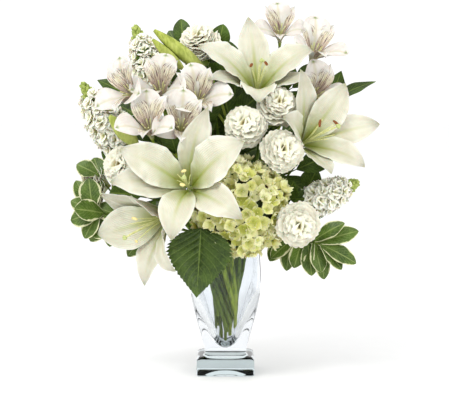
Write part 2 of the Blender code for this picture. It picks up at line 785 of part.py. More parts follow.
def make_carnation(name, ring, middle, facing, via, collection):
    depth = CARNATION_RADIUS * 0.72
    face = direction(*facing)
    end = Vector(middle) - face * (depth + 22)
    path = stem_path(*ring, *via, end, end_tangent=face)
    head = ball_head(middle, facing, CARNATION_RADIUS, depth)
    flower_on_stem(name, path, FLOWER_STEM / 2, head, CARNATION_WHITE, collection)


def make_stock(name, ring, foot, tip, radius, via, collection):
    foot, tip = Vector(foot), Vector(tip)
    line = (tip - foot).normalized()
    path = stem_path(*ring, *via, foot - line * 12, end_tangent=line)
    head = []
    for t, share in ((0.0, 0.62), (0.16, 0.95), (0.4, 1.0), (0.62, 0.8), (0.8, 0.52), (0.93, 0.4), (1.0, 0.2)):
        head.append((placed(foot.lerp(tip, t)), radius * share))
    flower_on_stem(name, path, STOCK_STEM / 2, head, STOCK_WHITE, collection)


def make_hydrangea(name, ring, via, collection):
    face = direction(*HYDRANGEA_FACING)
    depth = HYDRANGEA_RADIUS * 0.72
    end = Vector(HYDRANGEA_HEAD) - face * (depth * 0.62 + 14)
    path = stem_path(*ring, *via, end, end_tangent=face)
    head = []
    for t in (-0.62, -0.45, -0.15, 0.2, 0.55, 0.82, 0.96):
        head.append((placed(HYDRANGEA_HEAD) + face * depth * t, HYDRANGEA_RADIUS * math.sqrt(1 - (t * 0.98) ** 2)))
    flower_on_stem(name, path, HYDRANGEA_STEM / 2, head, HYDRANGEA_GREEN, collection)


def make_hydrangea_leaf(name, base, toward, length, half_width, roll, collection):
    """A broad toothed leaf on its own short stalk, which runs over the rim into the vase."""
    base = placed(base)
    shape = leaf_shape(length, half_width, 0.42, 0.72, -14, 0.06, teeth=5)
    blade = link_object(name + "_blade", blade_mesh(name, 4, 12, shape), LEAF_GREEN, collection)
    blade.matrix_world = leaf_frame(base, toward, (0, 30), roll)
    thicken(blade, LEAF_THICKNESS)
    inside = NECK_HALF - WALL - 4.0
    stalk = [placed(p) for p in ((-9, -inside, 176), (-12, -inside - 1, 195), (-31, -53, 200), (-42, -82, 207))]
    stalk.append(base + direction(*toward) * 4)
    pieces = [
        realised(blade, name + "_blade"),
        realised(tube(name + "_stalk", stalk, 1.3, LEAF_GREEN, collection), name + "_stalk"),
    ]
    return fused(name, pieces, LEAF_GREEN, collection)


# ---------------------------------------------------------------- the arrangement
def arrange(collection):
    make_vase(collection)
    for name, lily in LILIES.items():
        make_lily(name, lily["throat"], lily["facing"], lily["petals"], collection)
    make_lily_stem(
        "lily_stem_left",
        ("outer", 6),
        ((-46, -40, 216), (-74, -46, 262), (-104, -64, 300)),
        ((70, "front_lily"), (88, "low_lily")),
        ((0, "left_bud"),),
        collection,
    )
    make_lily_stem(
        "lily_stem_top",
        ("inner", 3),
        ((4, -14, 280), (0, -22, 366)),
        ((6, "top_lily"),),
        ((0, "top_bud"), (14, "small_bud")),
        collection,
    )
    make_lily_stem(
        "lily_stem_right",
        ("outer", 12),
        ((52, 8, 226), (80, 2, 284)),
        ((0, "right_lily"),),
        (),
        collection,
    )
    for name, (throat, facing, roll) in ALSTROEMERIAS.items():
        make_alstroemeria_bloom(name, throat, facing, roll, collection)
    left = [f"alstroemeria_bloom_{k}" for k in (1, 2, 3, 4, 5)]
    right = [f"alstroemeria_bloom_{k}" for k in (6, 7, 8)]
    make_alstroemeria_stem("alstroemeria_stem_left", ("inner", 2), ((-30, -20, 250), (-70, -36, 312)), left, collection)
    make_alstroemeria_stem("alstroemeria_stem_right", ("inner", 5), ((38, 20, 270), (90, 34, 372)), right, collection)
    stems = {
        "carnation_1": (("centre", 0), ((-6, 0, 300), (-20, 0, 400))),
        "carnation_2": (("inner", 4), ((14, -8, 250), (18, -20, 320))),
        "carnation_3": (("inner", 6), ((40, -4, 270), (50, -14, 340))),
        "carnation_4": (("outer", 8), ((44, -14, 240), (58, -18, 310))),
        "carnation_5": (("outer", 9), ((38, -15, 202), (75, -33, 214))),
        "carnation_6": (("outer", 4), ((-70, -22, 232),)),
        "carnation_7": (("outer", 3), ((-80, -8, 236),)),
    }
    for name, (middle, facing) in CARNATIONS.items():
        ring, via = stems[name]
        make_carnation(name, ring, middle, facing, via, collection)
    make_stock("stock_left", ("outer", 2), *STOCKS["stock_left"], ((-74, 10, 236), (-112, -2, 284)), collection)
    make_stock("stock_top", ("inner", 1), *STOCKS["stock_top"], ((-50, 6, 300),), collection)
    make_stock("stock_right", ("outer", 11), *STOCKS["stock_right"], ((70, -10, 218),), collection)
    make_hydrangea("hydrangea", ("outer", 7), ((10, -30, 210),), collection)
    make_hydrangea_leaf("hydrangea_leaf", collection=collection, **HYDRANGEA_LEAF)
    for name, sprig in SPRIGS.items():
        make_sprig(name, collection=collection, **sprig)


clear_scene()
arrange(new_collection("lilies_in_vase"))
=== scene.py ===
# %% [markdown]
# # Lilies in a glass vase
# The object is a bunch of cut flowers in a small vase of clear glass. It could be carved as one
# block, but petals and leaves are thin skins, so each is worked out here as a curved sheet over a
# grid of two parameters, one along the petal and one across it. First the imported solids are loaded,
# since every flower grows where its solid already stands.

# %% Load the frame
import math

import bmesh
import bpy
import numpy as np
from mathutils import Matrix


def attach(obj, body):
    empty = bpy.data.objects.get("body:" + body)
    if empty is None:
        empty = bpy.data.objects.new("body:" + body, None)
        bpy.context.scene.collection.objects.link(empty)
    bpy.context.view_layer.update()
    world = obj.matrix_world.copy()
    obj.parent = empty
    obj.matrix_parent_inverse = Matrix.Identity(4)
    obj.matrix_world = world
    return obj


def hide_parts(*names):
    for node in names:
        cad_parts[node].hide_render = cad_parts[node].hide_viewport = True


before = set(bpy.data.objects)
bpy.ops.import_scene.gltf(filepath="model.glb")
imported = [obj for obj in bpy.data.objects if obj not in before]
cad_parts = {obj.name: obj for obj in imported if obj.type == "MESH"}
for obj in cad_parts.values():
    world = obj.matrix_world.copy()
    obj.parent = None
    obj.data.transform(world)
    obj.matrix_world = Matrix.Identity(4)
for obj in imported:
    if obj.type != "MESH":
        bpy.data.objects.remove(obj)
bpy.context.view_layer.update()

MM = 0.001  # lengths below are millimetres, and meshes are metres
GOLDEN = 2.39996  # the golden angle in radians: no two steps round by it line up

# %% [markdown]
# ## Directions
# A flower needs to know which way it faces. A compass bearing and a height above the horizon are
# easier to read off a bouquet than a rotation matrix, so each flower is given by those two angles:
# bearing 0 looks at the front of the vase and positive bearings turn to the right.


# %% Directions and frames
def unit(vectors):
    """Each vector divided by its length."""
    return vectors / np.maximum(np.linalg.norm(vectors, axis=-1, keepdims=True), 1e-9)


def heading(bearing, rise):
    """The unit vector (sin b cos r, -cos b cos r, sin r)."""
    b, r = math.radians(bearing), math.radians(rise)
    return np.array([math.sin(b) * math.cos(r), -math.cos(b) * math.cos(r), math.sin(r)])


def flower_axes(facing, roll=0.0):
    """Rows are a flower's own right, up and forward axes, turned by roll about forward."""
    forward = heading(*facing)
    right = np.array([math.cos(math.radians(facing[0])), math.sin(math.radians(facing[0])), 0.0])
    up = np.cross(forward, right)
    c, s = math.cos(math.radians(roll)), math.sin(math.radians(roll))
    return np.stack([c * right + s * up, c * up - s * right, forward])


def leaf_axes(toward, face, roll=0.0):
    """Rows are a leaf's across, along and upper-side axes. Its upper side turns as near to face as it
    can, and then by roll about the leaf's own length."""
    along = heading(*toward)
    across = unit(np.cross(along, heading(*face)))
    upper = np.cross(across, along)
    c, s = math.cos(math.radians(roll)), math.sin(math.radians(roll))
    return np.stack([c * across - s * upper, along, s * across + c * upper])


def turned(sheet, angle):
    """A sheet turned about its own forward axis: x cos a - y sin a, x sin a + y cos a."""
    c, s = math.cos(math.radians(angle)), math.sin(math.radians(angle))
    x, y, z = sheet[..., 0], sheet[..., 1], sheet[..., 2]
    return np.stack([x * c - y * s, x * s + y * c, z], -1)


print("front is", heading(0, 0))

# %% [markdown]
# ## From sheets to meshes
# A petal is a sheet with two sides, and a stem is a tube. Both are the same kind of skin: rings of
# points, one after another, joined by quads and closed at both ends. The sheet's ring runs over its
# upper side and back under its lower side. A modifier could thicken a flat sheet too, but a ring
# lets the margin be thinner than the middle, as a real petal's is. The class below gathers
# such skins and turns them into one mesh. Each point also carries a mark of three numbers, which the
# finishes read: how far along, how far across, and a tint of its own.


# %% Sheets
def grid(rows, columns):
    """u from 0 to 1 down the rows, and v from -1 to 1 across the columns."""
    return np.linspace(0, 1, rows)[:, None], np.linspace(-1, 1, columns)[None]


def peaked(u, peak):
    """sin(pi u^p), with p set so that it reaches 1 where u is peak. It is 0 at both ends."""
    return np.clip(np.sin(np.pi * u ** (math.log(0.5) / math.log(peak))), 0, 1)


def shell(sheet, thickness):
    """Rings round a sheet (rows, columns): sheet + n t/2 over, sheet - n t/2 back, where the normal n is
    the cross product of the two slopes and t falls to 0.35 at the margins. The ends are pinched shut."""
    rows, columns = sheet.shape[-3:-1]
    normal = unit(np.cross(np.gradient(sheet, axis=-2), np.gradient(sheet, axis=-3)))
    across = np.linspace(-1, 1, columns)[:, None]
    offset = normal * thickness / 2 * (1 - 0.65 * across**4)
    rings = np.concatenate([sheet + offset, (sheet - offset)[..., ::-1, :]], axis=-2)
    pinched = np.concatenate([sheet, sheet[..., ::-1, :]], axis=-2)
    return np.concatenate([pinched[..., :1, :, :], rings, pinched[..., -1:, :, :]], axis=-3)


def shell_marks(u, v, tint):
    """The marks of a shell's rings, from grids of u and v."""
    u, v, tint = np.broadcast_arrays(u, v, tint)
    marks = np.stack([u, v, tint], -1)
    marks = np.concatenate([marks, marks[..., ::-1, :]], axis=-2)
    return np.concatenate([marks[..., :1, :, :], marks, marks[..., -1:, :, :]], axis=-3)


# %% Tubes
def tube_rings(path, radii, sides, lobes=0, lobe_depth=0.0):
    """Rings round a path: p + r (a cos w + b sin w), where a and b are square to the path, and r is
    1 + d cos(lobes w) times the radius. Both ends close on the path."""
    path = np.asarray(path, float)
    radii = np.broadcast_to(radii, len(path)).astype(float)
    tangent = unit(np.gradient(path, axis=0))
    steady = np.linalg.svd(tangent)[2][-1]
    a = unit(np.cross(tangent, steady))
    b = np.cross(tangent, a)
    w = np.linspace(0, 2 * np.pi, sides, endpoint=False)
    lobed = 1 + lobe_depth * np.cos(lobes * w)
    rings = path[:, None] + (radii[:, None] * lobed)[..., None] * (
        a[:, None] * np.cos(w)[:, None] + b[:, None] * np.sin(w)[:, None]
    )
    ends = np.repeat(path[[0, -1], None], sides, axis=1)
    return np.concatenate([ends[:1], rings, ends[1:]])


# %% Skins gathered into a piece
class Growth:
    """Closed skins gathered for one piece."""

    def __init__(self):
        self.points, self.faces, self.marks, self.slots, self.finishes = [], [], [], [], []
        self.total = 0

    def skin(self, rings, marks, finish):
        """Joins ring to ring: corner (row, k) with (row, k+1), (row+1, k+1) and (row+1, k)."""
        if finish not in self.finishes:
            self.finishes.append(finish)
        rings = rings.reshape(-1, *rings.shape[-3:])
        marks = np.broadcast_to(marks, rings.shape)
        index = self.total + np.arange(rings[..., 0].size).reshape(rings.shape[:-1])
        after = np.roll(index, -1, axis=2)
        quads = np.stack([index[:, :-1], after[:, :-1], after[:, 1:], index[:, 1:]], -1).reshape(-1, 4)
        self.points.append(rings.reshape(-1, 3))
        self.marks.append(marks.reshape(-1, 3))
        self.faces.append(quads)
        self.slots.append(np.full(len(quads), self.finishes.index(finish)))
        self.total += rings[..., 0].size

    def tube(self, path, radii, sides, finish, **shape):
        """A tube whose marks are the distance along in metres, the share of the way round and 0.5."""
        rings = tube_rings(path, radii, sides, **shape)
        walk = np.concatenate([[0], np.cumsum(np.linalg.norm(np.diff(path, axis=0), axis=1))]) * MM
        walk = np.concatenate([walk[:1], walk, walk[-1:]])[:, None]
        round_it = np.linspace(0, 1, sides, endpoint=False)[None]
        marks = np.stack(np.broadcast_arrays(walk, round_it, 0.5), -1)
        self.skin(rings, marks, finish)

    def sheet(self, sheet, u, v, tint, thickness, finish):
        """A shell round a sheet, or round each of an array of sheets."""
        self.skin(shell(sheet, thickness), shell_marks(u, v, tint), finish)

    def piece(self, name, nodes, slot, crease=50):
        """The gathered skins as one object at the origin, with its points merged where skins pinch."""
        mesh = bpy.data.meshes.new(name)
        mesh.from_pydata(np.concatenate(self.points) * MM, [], np.concatenate(self.faces))
        mark = mesh.attributes.new("mark", "FLOAT_VECTOR", "POINT")
        mark.data.foreach_set("vector", np.concatenate(self.marks).ravel())
        mesh.polygons.foreach_set("material_index", np.concatenate(self.slots))
        bm = bmesh.new()
        bm.from_mesh(mesh)
        bmesh.ops.remove_doubles(bm, verts=bm.verts, dist=5e-7)
        bmesh.ops.recalc_face_normals(bm, faces=bm.faces)
        bm.to_mesh(mesh)
        bm.free()
        mesh.shade_smooth()
        mesh.set_sharp_from_angle(angle=math.radians(crease))
        obj = bpy.data.objects.new(name, mesh)
        bpy.context.scene.collection.objects.link(obj)
        for finish in self.finishes:
            mesh.materials.append(finish)
        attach(obj, "root")
        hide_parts(*nodes)
        print(f"{name}: {len(mesh.polygons)} faces")


# %% [markdown]
# ## Shader maths
# A finish is a small graph of nodes. Wiring it by hand hides the sum in the wiring, so the class
# below wraps one socket and lets plain arithmetic add the Math nodes: `1 - mask` reads as it works.
# Every other node comes from one method, which sets the node up first and then its sockets.


# %% Wires
class Wire:
    """One socket of a finish's node tree."""

    def __init__(self, tree, socket=None):
        self.tree, self.socket = tree, socket

    def node(self, kind, settings=None, sockets=None, out=0):
        """Adds a node: its settings first (a ramp's stops among them), then values or links."""
        new = self.tree.nodes.new("ShaderNode" + kind)
        for key, value in (settings or {}).items():
            if key != "stops":
                setattr(new, key, value)
                continue
            stops = new.color_ramp.elements
            while len(stops) < len(value):
                stops.new(1.0)
            for stop, (place, colour) in zip(stops, value):
                stop.position = place
                stop.color = (*colour, 1.0)
        for key, value in (sockets or {}).items():
            if isinstance(value, Wire):
                self.tree.links.new(value.socket, new.inputs[key])
            else:
                new.inputs[key].default_value = value
        return Wire(self.tree, new.outputs[out])

    def maths(self, operation, *others):
        """A Math node on this number and the others."""
        return self.node("Math", {"operation": operation}, dict(enumerate((self, *others))))

    def __add__(self, other):
        return self.maths("ADD", other)

    def __sub__(self, other):
        return self.maths("SUBTRACT", other)

    def __rsub__(self, other):
        return self.node("Math", {"operation": "SUBTRACT"}, {0: other, 1: self})

    def __mul__(self, other):
        return self.maths("MULTIPLY", other)

    __radd__ = __add__
    __rmul__ = __mul__

    def ramp(self, low, high):
        """0 at low, 1 at high, and smooth between them."""
        settings = {"interpolation_type": "SMOOTHSTEP"}
        return self.node("MapRange", settings, {"Value": self, "From Min": low, "From Max": high})

    def tinted(self, under, over):
        """The colour under where this mask is 0, over where it is 1."""
        def solid(colour):
            return colour if isinstance(colour, Wire) else (*colour, 1.0)
        return self.node("Mix", {"data_type": "RGBA"}, {0: self, 6: solid(under), 7: solid(over)}, out=2)

    def noise(self, scale, detail=3.0, stretch=(1.0, 1.0, 1.0)):
        """Noise over this vector, or over the piece's own coordinates in metres where it holds none."""
        place = self if self.socket else self.node("TexCoord", out="Object")
        place = place.node("Mapping", {}, {"Vector": place, "Scale": stretch})
        return place.node("TexNoise", {}, {"Vector": place, "Scale": scale, "Detail": detail})


def painted(base, *coats):
    """A base colour with coats laid over it in turn, each a mask and a colour."""
    for mask, colour in coats:
        base = mask.tinted(base, colour)
    return base


def linear(red, green, blue):
    """A colour as screens give it, 0 to 255, as the shaders' linear light."""
    share = np.array([red, green, blue]) / 255
    light = np.where(share <= 0.04045, share / 12.92, ((share + 0.055) / 1.055) ** 2.4)
    return tuple(float(c) for c in light)


# %% Finishes
class Finish:
    """A material: its Principled shader, and wires to the piece's marks."""

    def __init__(self, name, **constants):
        self.material = bpy.data.materials.new(name)
        self.material.use_nodes = True
        self.tree = self.material.node_tree
        self.shader = self.tree.nodes["Principled BSDF"]
        self.set(**constants)
        self.any = Wire(self.tree)  # it holds no socket, so a noise from it reads the piece's own place
        self.mark = self.any.node("Attribute", {"attribute_name": "mark"}, out="Vector")
        self.along, self.across, self.tint = (
            self.mark.node("SeparateXYZ", {}, {0: self.mark}, out=axis) for axis in "XYZ"
        )
        print("finish:", name)

    def set(self, **sockets):
        """Sets or links the shader's sockets; an underscore in a name stands for a space."""
        for key, value in sockets.items():
            socket = self.shader.inputs[key.replace("_", " ")]
            if isinstance(value, Wire):
                self.tree.links.new(value.socket, socket)
            else:
                socket.default_value = value

    def relief(self, height, depth):
        """Bumps the surface by height times depth millimetres."""
        self.set(Normal=height.node("Bump", {}, {"Height": height, "Distance": depth * MM}))


# %% [markdown]
# ## Petal finishes
# A lily petal is waxy white, green in the throat and along its rib, with fine lines from throat to
# tip. Painting an image would do it, but the sheet's own marks already say how far along and
# across a point is, so masks of those two numbers follow every curl of the petal for nothing.


# %% Lily petals
def lily_finish():
    """Waxy white with fine lines along it and a painted highlight along the margin, green in the throat and
    along the rib.
    """
    f = Finish("lily_petal", Subsurface_Weight=0.12, Subsurface_Scale=0.004, IOR=1.42)
    side = f.across.maths("ABSOLUTE")
    phase = f.across * 74.0 + f.any.noise(60.0) * 5.0
    lines = phase.maths("SINE") * 0.5 + 0.5
    rib = (1 - side.ramp(0.0, 0.2)) * (1 - f.along.ramp(0.25, 0.95))
    throat = (1 - f.along.ramp(0.04, 0.58)) * (1 - side.ramp(0.2, 1.2) * 0.5)
    cloud = f.any.noise(38.0, 2.0)
    colour = painted(
        cloud.ramp(0.35, 0.7).tinted(linear(198, 196, 176), linear(214, 212, 196)),
        (lines * 0.34 * (1 - f.along * 0.4), linear(166, 168, 126)),
        # painted highlight: the margin is lightened where its curled edge would catch the light
        (side.ramp(0.72, 1.0) * 0.5, linear(226, 225, 215)),
        (rib * 0.7, linear(160, 170, 88)),
        (throat * 0.92, linear(140, 154, 34)),
        (f.along.ramp(0.93, 1.0) * 0.5, linear(170, 176, 106)),
    )
    f.set(Base_Color=colour, Roughness=0.4 + cloud * 0.2)
    f.relief(lines * 0.5 + cloud, 0.6)
    return f.material


LILY_PETAL = lily_finish()


# %% Matt finishes
def matt_finish(name, low, high, grain, rough, depth=0.2):
    """A matt skin that wanders between two colours."""
    f = Finish(name)
    speckle = f.any.noise(grain)
    f.set(Base_Color=speckle.ramp(0.3, 0.7).tinted(low, high), Roughness=rough + speckle * 0.15)
    f.relief(speckle, depth)
    return f.material


FILAMENT = matt_finish("filament", linear(196, 200, 128), linear(222, 222, 166), 300.0, 0.45)
PALE_ANTHER = matt_finish("pale_anther", linear(214, 196, 120), linear(232, 220, 160), 900.0, 0.75)
RUST_ANTHER = matt_finish("rust_anther", linear(96, 52, 22), linear(140, 84, 34), 900.0, 0.85)
STIGMA = matt_finish("stigma", linear(150, 166, 92), linear(190, 196, 130), 500.0, 0.4)


# %% [markdown]
# ## An open lily
# Six petals in two whorls leave the throat steeply and lean further out towards the tip. A Bezier
# sheet for each would need dozens of handles. Instead the middle line is drawn by its lean, and the
# width, the cupping, the rib's channel and the waved margin are added as functions across it.


# %% One lily petal
def middle_line(open_base, open_tip, length, start, back, curl, steps=240):
    """Distance from the axis, height and lean along a petal. The lean is base + (tip - base) u^1.7 plus a
    curl over the last fifth, and the line is its running sum of (sin, cos)."""
    s = (np.arange(steps) + 0.5) / steps
    curled = curl * np.clip((s - 0.8) / 0.2, 0, 1) ** 2
    lean = np.radians(open_base + (open_tip - open_base) * s**1.7 + curled)
    r = start + np.concatenate([[0], np.cumsum(np.sin(lean))]) * length / steps
    z = np.concatenate([[0], np.cumsum(np.cos(lean))]) * length / steps - back
    knots = np.linspace(0, 1, steps + 1)
    return lambda u: (np.interp(u, knots, r), np.interp(u, knots, z), np.interp(u, s, lean))


def tepal(whorl, angle, length, half, open_base, open_tip, bend, curl, wave, rng):
    """(x, y, z) = (r - cos(lean) h, v w + bend L u^2, z + sin(lean) h): r, z and the lean follow the
    middle line of length L, w is the half width, and the lift h is cup + waved margin - channel over
    the rib + folds."""
    inner = whorl == "inner"
    u, v = grid(46, 23)
    start, back = (4.2, 0) if inner else (5.2, 3.4)
    r, z, lean = middle_line(open_base, open_tip, length, start, back, curl)(u)
    swell = peaked(u, 0.56) ** 0.95
    width = np.maximum(3.4 * (1 - u), 0.4) + (half - 0.4) * swell
    edge = np.abs(v)
    waves, first, apart = rng.uniform(3.2, 4.6), rng.uniform(0, 6), rng.uniform(1, 3)
    beat = 2 * np.pi * (waves * u) + first + np.where(v > 0, apart, 0)
    ripple = wave * (np.sin(beat) + 0.35 * np.sin(2.3 * beat)) * edge**2.6 * swell
    channel = 2.1 * np.exp(-((v / 0.11) ** 2)) * (1 - u) ** 0.6 * (1 if inner else 0.6)
    folds = 0.8 * np.cos(v * 5 * np.pi) * (1 - edge) * swell
    lift = width * (0.34 - 0.2 * u) * edge**1.8 + ripple - channel + folds
    side = v * width + bend * length * u * u
    sheet = np.stack([r - np.cos(lean) * lift, side + 0 * u, z + np.sin(lean) * lift], -1)
    return turned(sheet, angle), u, v


# %% [markdown]
# The four lilies are listed with the place of the throat, the way they face, and each petal's
# whorl, angle round the flower, length, half width, lean at base and tip, sideways bend, curl of
# the tip and wave of the margin. Every number belongs to a real petal, so only the number and the
# phase of its waves are drawn at random.

# %% The four lilies
LILIES = {
    "front_lily": ((-49, -113, 271), (-10, 24), (
        ("inner", 25, 112, 30, 34, 92, 0.05, 14, 2.3),
        ("inner", 160, 111, 26, 34, 84, 0.0, 20, 2.2),
        ("inner", 260, 100, 23, 34, 124, 0.05, -10, 0.9),
        ("outer", 86, 113, 19, 40, 64, -0.22, 8, 1.6),
        ("outer", 188, 112, 23, 40, 84, 0.0, 26, 1.6),
        ("outer", 324, 121, 22, 40, 92, 0.0, 26, 1.8))),
    "low_lily": ((-76, -92, 232), (-52, -16), (
        ("inner", 186, 103, 29, 30, 62, 0.0, 18, 1.4),
        ("inner", 68, 84, 22, 30, 50, 0.0, 10, 1.0),
        ("inner", 318, 102, 21, 31, 98, 0.0, 14, 1.0),
        ("outer", 140, 98, 18, 37, 62, 0.0, 16, 0.8),
        ("outer", 12, 66, 16, 37, 56, 0.0, 8, 0.6),
        ("outer", 260, 102, 23, 37, 78, 0.0, 10, 1.1))),
    "top_lily": ((44, -22, 399), (4, 52), (
        ("inner", 15, 100, 26, 34, 88, 0.06, 60, 1.4),
        ("inner", 165, 107, 26, 34, 90, -0.04, 26, 1.5),
        ("inner", 266, 77, 24, 34, 106, 0.0, 40, 3.2),
        ("outer", 93, 104, 21, 39, 48, 0.07, 6, 0.9),
        ("outer", 202, 90, 17, 40, 82, 0.0, 18, 0.9),
        ("outer", 336, 90, 16, 40, 84, 0.0, 20, 0.9))),
    "right_lily": ((107, -42, 327), (34, 22), (
        ("inner", 54, 102, 24, 33, 76, 0.0, 14, 1.3),
        ("inner", 317, 94, 20, 35, 90, 0.0, 22, 1.2),
        ("inner", 166, 94, 21, 33, 72, 0.0, 10, 1.1),
        ("outer", 108, 110, 19, 39, 66, 0.0, 12, 0.9),
        ("outer", 4, 114, 20, 39, 86, 0.0, 24, 1.0),
        ("outer", 262, 84, 18, 39, 52, 0.0, 8, 0.8))),
}


def make_lily(name, throat, facing, petals):
    """Six petals round the throat. Each petal's tint is its turn in the list."""
    growth, rng, axes = Growth(), np.random.default_rng(sum(map(ord, name))), flower_axes(facing)
    for k, petal in enumerate(petals):
        sheet, u, v = tepal(*petal, rng)
        growth.sheet(np.array(throat) + sheet @ axes, u, v, k / 6, 1.0, LILY_PETAL)
    nodes = [f"{name}_{whorl}_petal_{k}" for whorl in ("inner", "outer") for k in (1, 2, 3)]
    growth.piece(name + "_petals", nodes, "lily_petals")


for lily, (throat, facing, petals) in LILIES.items():
    make_lily(lily, throat, facing, petals)

# %% [markdown]
# Inside the throat stand six filaments, two of which still hold an anther hinged across the tip, round
# one thick pistil that ends in a three-lobed stigma. They are tubes of changing radius along gentle
# curves, and the stigma is the same tube with three lobes round it.


# %% Stamens and pistils
ANTHERS = {  # colour, the filaments that still hold one, and the length against a full-grown stamen
    "front_lily": (PALE_ANTHER, (1, 4), 0.6),
    "low_lily": (PALE_ANTHER, (1, 4), 0.95),
    "top_lily": (RUST_ANTHER, (0, 2), 0.68),
    "right_lily": (RUST_ANTHER, (0, 2), 0.95),
}


def make_stamens(name, throat, facing, anther, held, reach):
    """The pistil leans out by 3 t^3 and each filament by a share of t^1.4. An anther is the bar
    (out - 0.9 s^2, s cos(tilt), s sin(tilt)), thick in the middle and pinched along two lines."""
    growth, axes, rng = Growth(), flower_axes(facing), np.random.default_rng(len(name) * 7)
    t, s = np.linspace(0, 1, 16), np.linspace(-1, 1, 14)
    spread = 15.0 * reach
    pistil = np.stack([3 * t**3, -4 * t**2, -4 + (4 + 84 * reach) * t], -1)
    radii = np.interp(t, [0, 0.1, 0.5, 0.92, 1], [2.4, 2.3, 1.3, 1.2, 1.6])
    growth.tube(throat + pistil @ axes, radii, 10, FILAMENT)
    head = np.stack([3 + 0 * t, -4 + 0 * t, 84 * reach - 2 + 5 * t], -1)
    radii = 3.4 * np.sin(np.pi * (0.12 + 0.8 * t)) ** 0.6
    growth.tube(throat + head @ axes, radii, 18, STIGMA, lobes=3, lobe_depth=0.2)
    half = 3.8 + 2.7 * reach * (reach > 0.9)
    for k in range(6):
        angle = 30 + 60 * k + rng.uniform(-7, 7)
        lean = 0.6 + spread * t**1.4
        length = rng.uniform(58, 66) * reach
        line = turned(np.stack([lean, 0 * t, 1 + length * t], -1), angle)
        growth.tube(throat + line @ axes, np.interp(t, [0, 0.8, 1], [1.25, 0.8, 0.45]), 7, FILAMENT)
        tilt = math.radians(rng.uniform(-25, 25))
        if k not in held:
            continue
        rise = s * half * math.sin(tilt)
        bar = np.stack([spread + 1.2 - 0.9 * s * s, s * half * math.cos(tilt), length + 1.6 + rise], -1)
        radii = 0.15 + 1.75 * (1 - s * s) ** 0.45
        growth.tube(throat + turned(bar, angle) @ axes, radii, 10, anther, lobes=2, lobe_depth=0.18)
    growth.piece(name, [name], "lily_stamens")


for lily, (throat, facing, _) in LILIES.items():
    make_stamens(lily + "_stamens", np.array(throat, float), facing, *ANTHERS[lily])

# %% [markdown]
# ## Stems
# Every stem runs straight through the vase and then bends to its flower. The straight runs are
# rulings of a hyperboloid: feet on one small ring, necks on a wider one that is turned against it, so
# the stems cross as a gathered bunch does and hardly touch. Above the neck a Hermite curve carries
# each stem through the points given. Curve objects would do this too, but a tube of rings lets the
# same marks drive the green finish.


# %% Stem paths
RINGS = {  # places, foot radius, foot height, neck radius, bearing of the first place
    "outer": (14, 19.5, 61.0, 33.0, -167.0),
    "inner": (7, 10.5, 50.0, 18.0, -140.0),
    "centre": (1, 0.0, 43.0, 0.0, 0.0),
}
NECK_HEIGHT, TWIST = 172.0, 100.0


def smooth_path(points, end=None, step=5.0):
    """Points along a Hermite curve: on each stretch a(2t^3-3t^2+1) + p(t^3-2t^2+t) + b(3t^2-2t^3) +
    q(t^3-t^2), with Catmull-Rom slopes p and q. The first stretch is straight."""
    points = [np.asarray(p, float) for p in points]
    run = unit(points[1] - points[0])
    reach = np.linalg.norm(points[1] - points[0])
    path = [points[0] + run * s for s in np.linspace(0, reach, max(3, round(reach / step)) + 1)[:-1]]
    for i in range(1, len(points) - 1):
        a, b = points[i], points[i + 1]
        reach = np.linalg.norm(b - a)
        leave = (run if i == 1 else unit(b - points[i - 1])) * reach
        last = b - a if end is None else np.asarray(end, float)
        ahead = points[i + 2] - a if i + 2 < len(points) else last
        arrive = unit(ahead) * reach
        t = np.linspace(0, 1, max(3, round(reach / step)) + 1)[:-1, None]
        path.extend(
            a * (2 * t**3 - 3 * t**2 + 1) + leave * (t**3 - 2 * t**2 + t)
            + b * (3 * t**2 - 2 * t**3) + arrive * (t**3 - t**2)
        )
    return np.array(path + [points[-1]])


def stem_path(ring, place, *points, end=None):
    """The foot and neck of this place in the ring, then the points above."""
    count, foot_radius, foot_height, neck_radius, first = RINGS[ring]
    bearing = first + place * 360 / count
    neck = heading(bearing, 0) * neck_radius + [0, 0, NECK_HEIGHT]
    foot = heading(bearing + TWIST, 0) * foot_radius + [0, 0, foot_height]
    foot = foot + (neck - foot) * 0.09 * (place % 3)
    return smooth_path((foot, neck, *points), end)


def stem_radii(path, radius):
    """The radius given where the path is above 260 mm, and 0.8 mm more where it is below 140 mm, low
    in the vase, since a stem is thickest at its foot."""
    return radius + 0.8 * np.interp(path[:, 2], [140, 260], [1, 0])


def tapered(path, shares, sizes):
    """A size for each point of a path: these sizes at these shares of its points, straight between."""
    return np.interp(np.linspace(0, 1, len(path)), shares, sizes)


def along(path, back):
    """The point and direction of a path this far before its end."""
    steps = np.linalg.norm(np.diff(path, axis=0), axis=1)
    left = np.concatenate([np.cumsum(steps[::-1])[::-1], [0]])
    point = np.array([np.interp(back, left[::-1], path[::-1, k]) for k in range(3)])
    k = int(np.clip(np.searchsorted(-left, -back), 1, len(path) - 1))
    return point, unit(path[k] - path[k - 1])


# %% [markdown]
# A fresh stem is green with long paler streaks, and yellower where it stood in water. One even green
# would look like plastic, so a noise drawn out upwards streaks it, and the distance along the stem,
# which its mark holds, pales its foot.


# %% Stem finish
def stem_finish(name, deep, light, foot):
    """Green with long paler streaks. The first 70 mm of each stem and branch is paler still."""
    f = Finish(name, IOR=1.4, Specular_IOR_Level=0.3)
    streak = f.any.noise(240.0, 3.0, (1, 1, 0.12))
    mottle = f.any.noise(90.0)
    colour = painted(
        streak.ramp(0.35, 0.65).tinted(deep, light),
        (mottle.ramp(0.45, 0.75) * 0.4, foot),
        ((1 - f.along.ramp(0.0, 0.07)) * 0.5, foot),
    )
    f.set(Base_Color=colour, Roughness=0.35 + mottle * 0.25)
    f.relief(streak, 0.5)
    return f.material


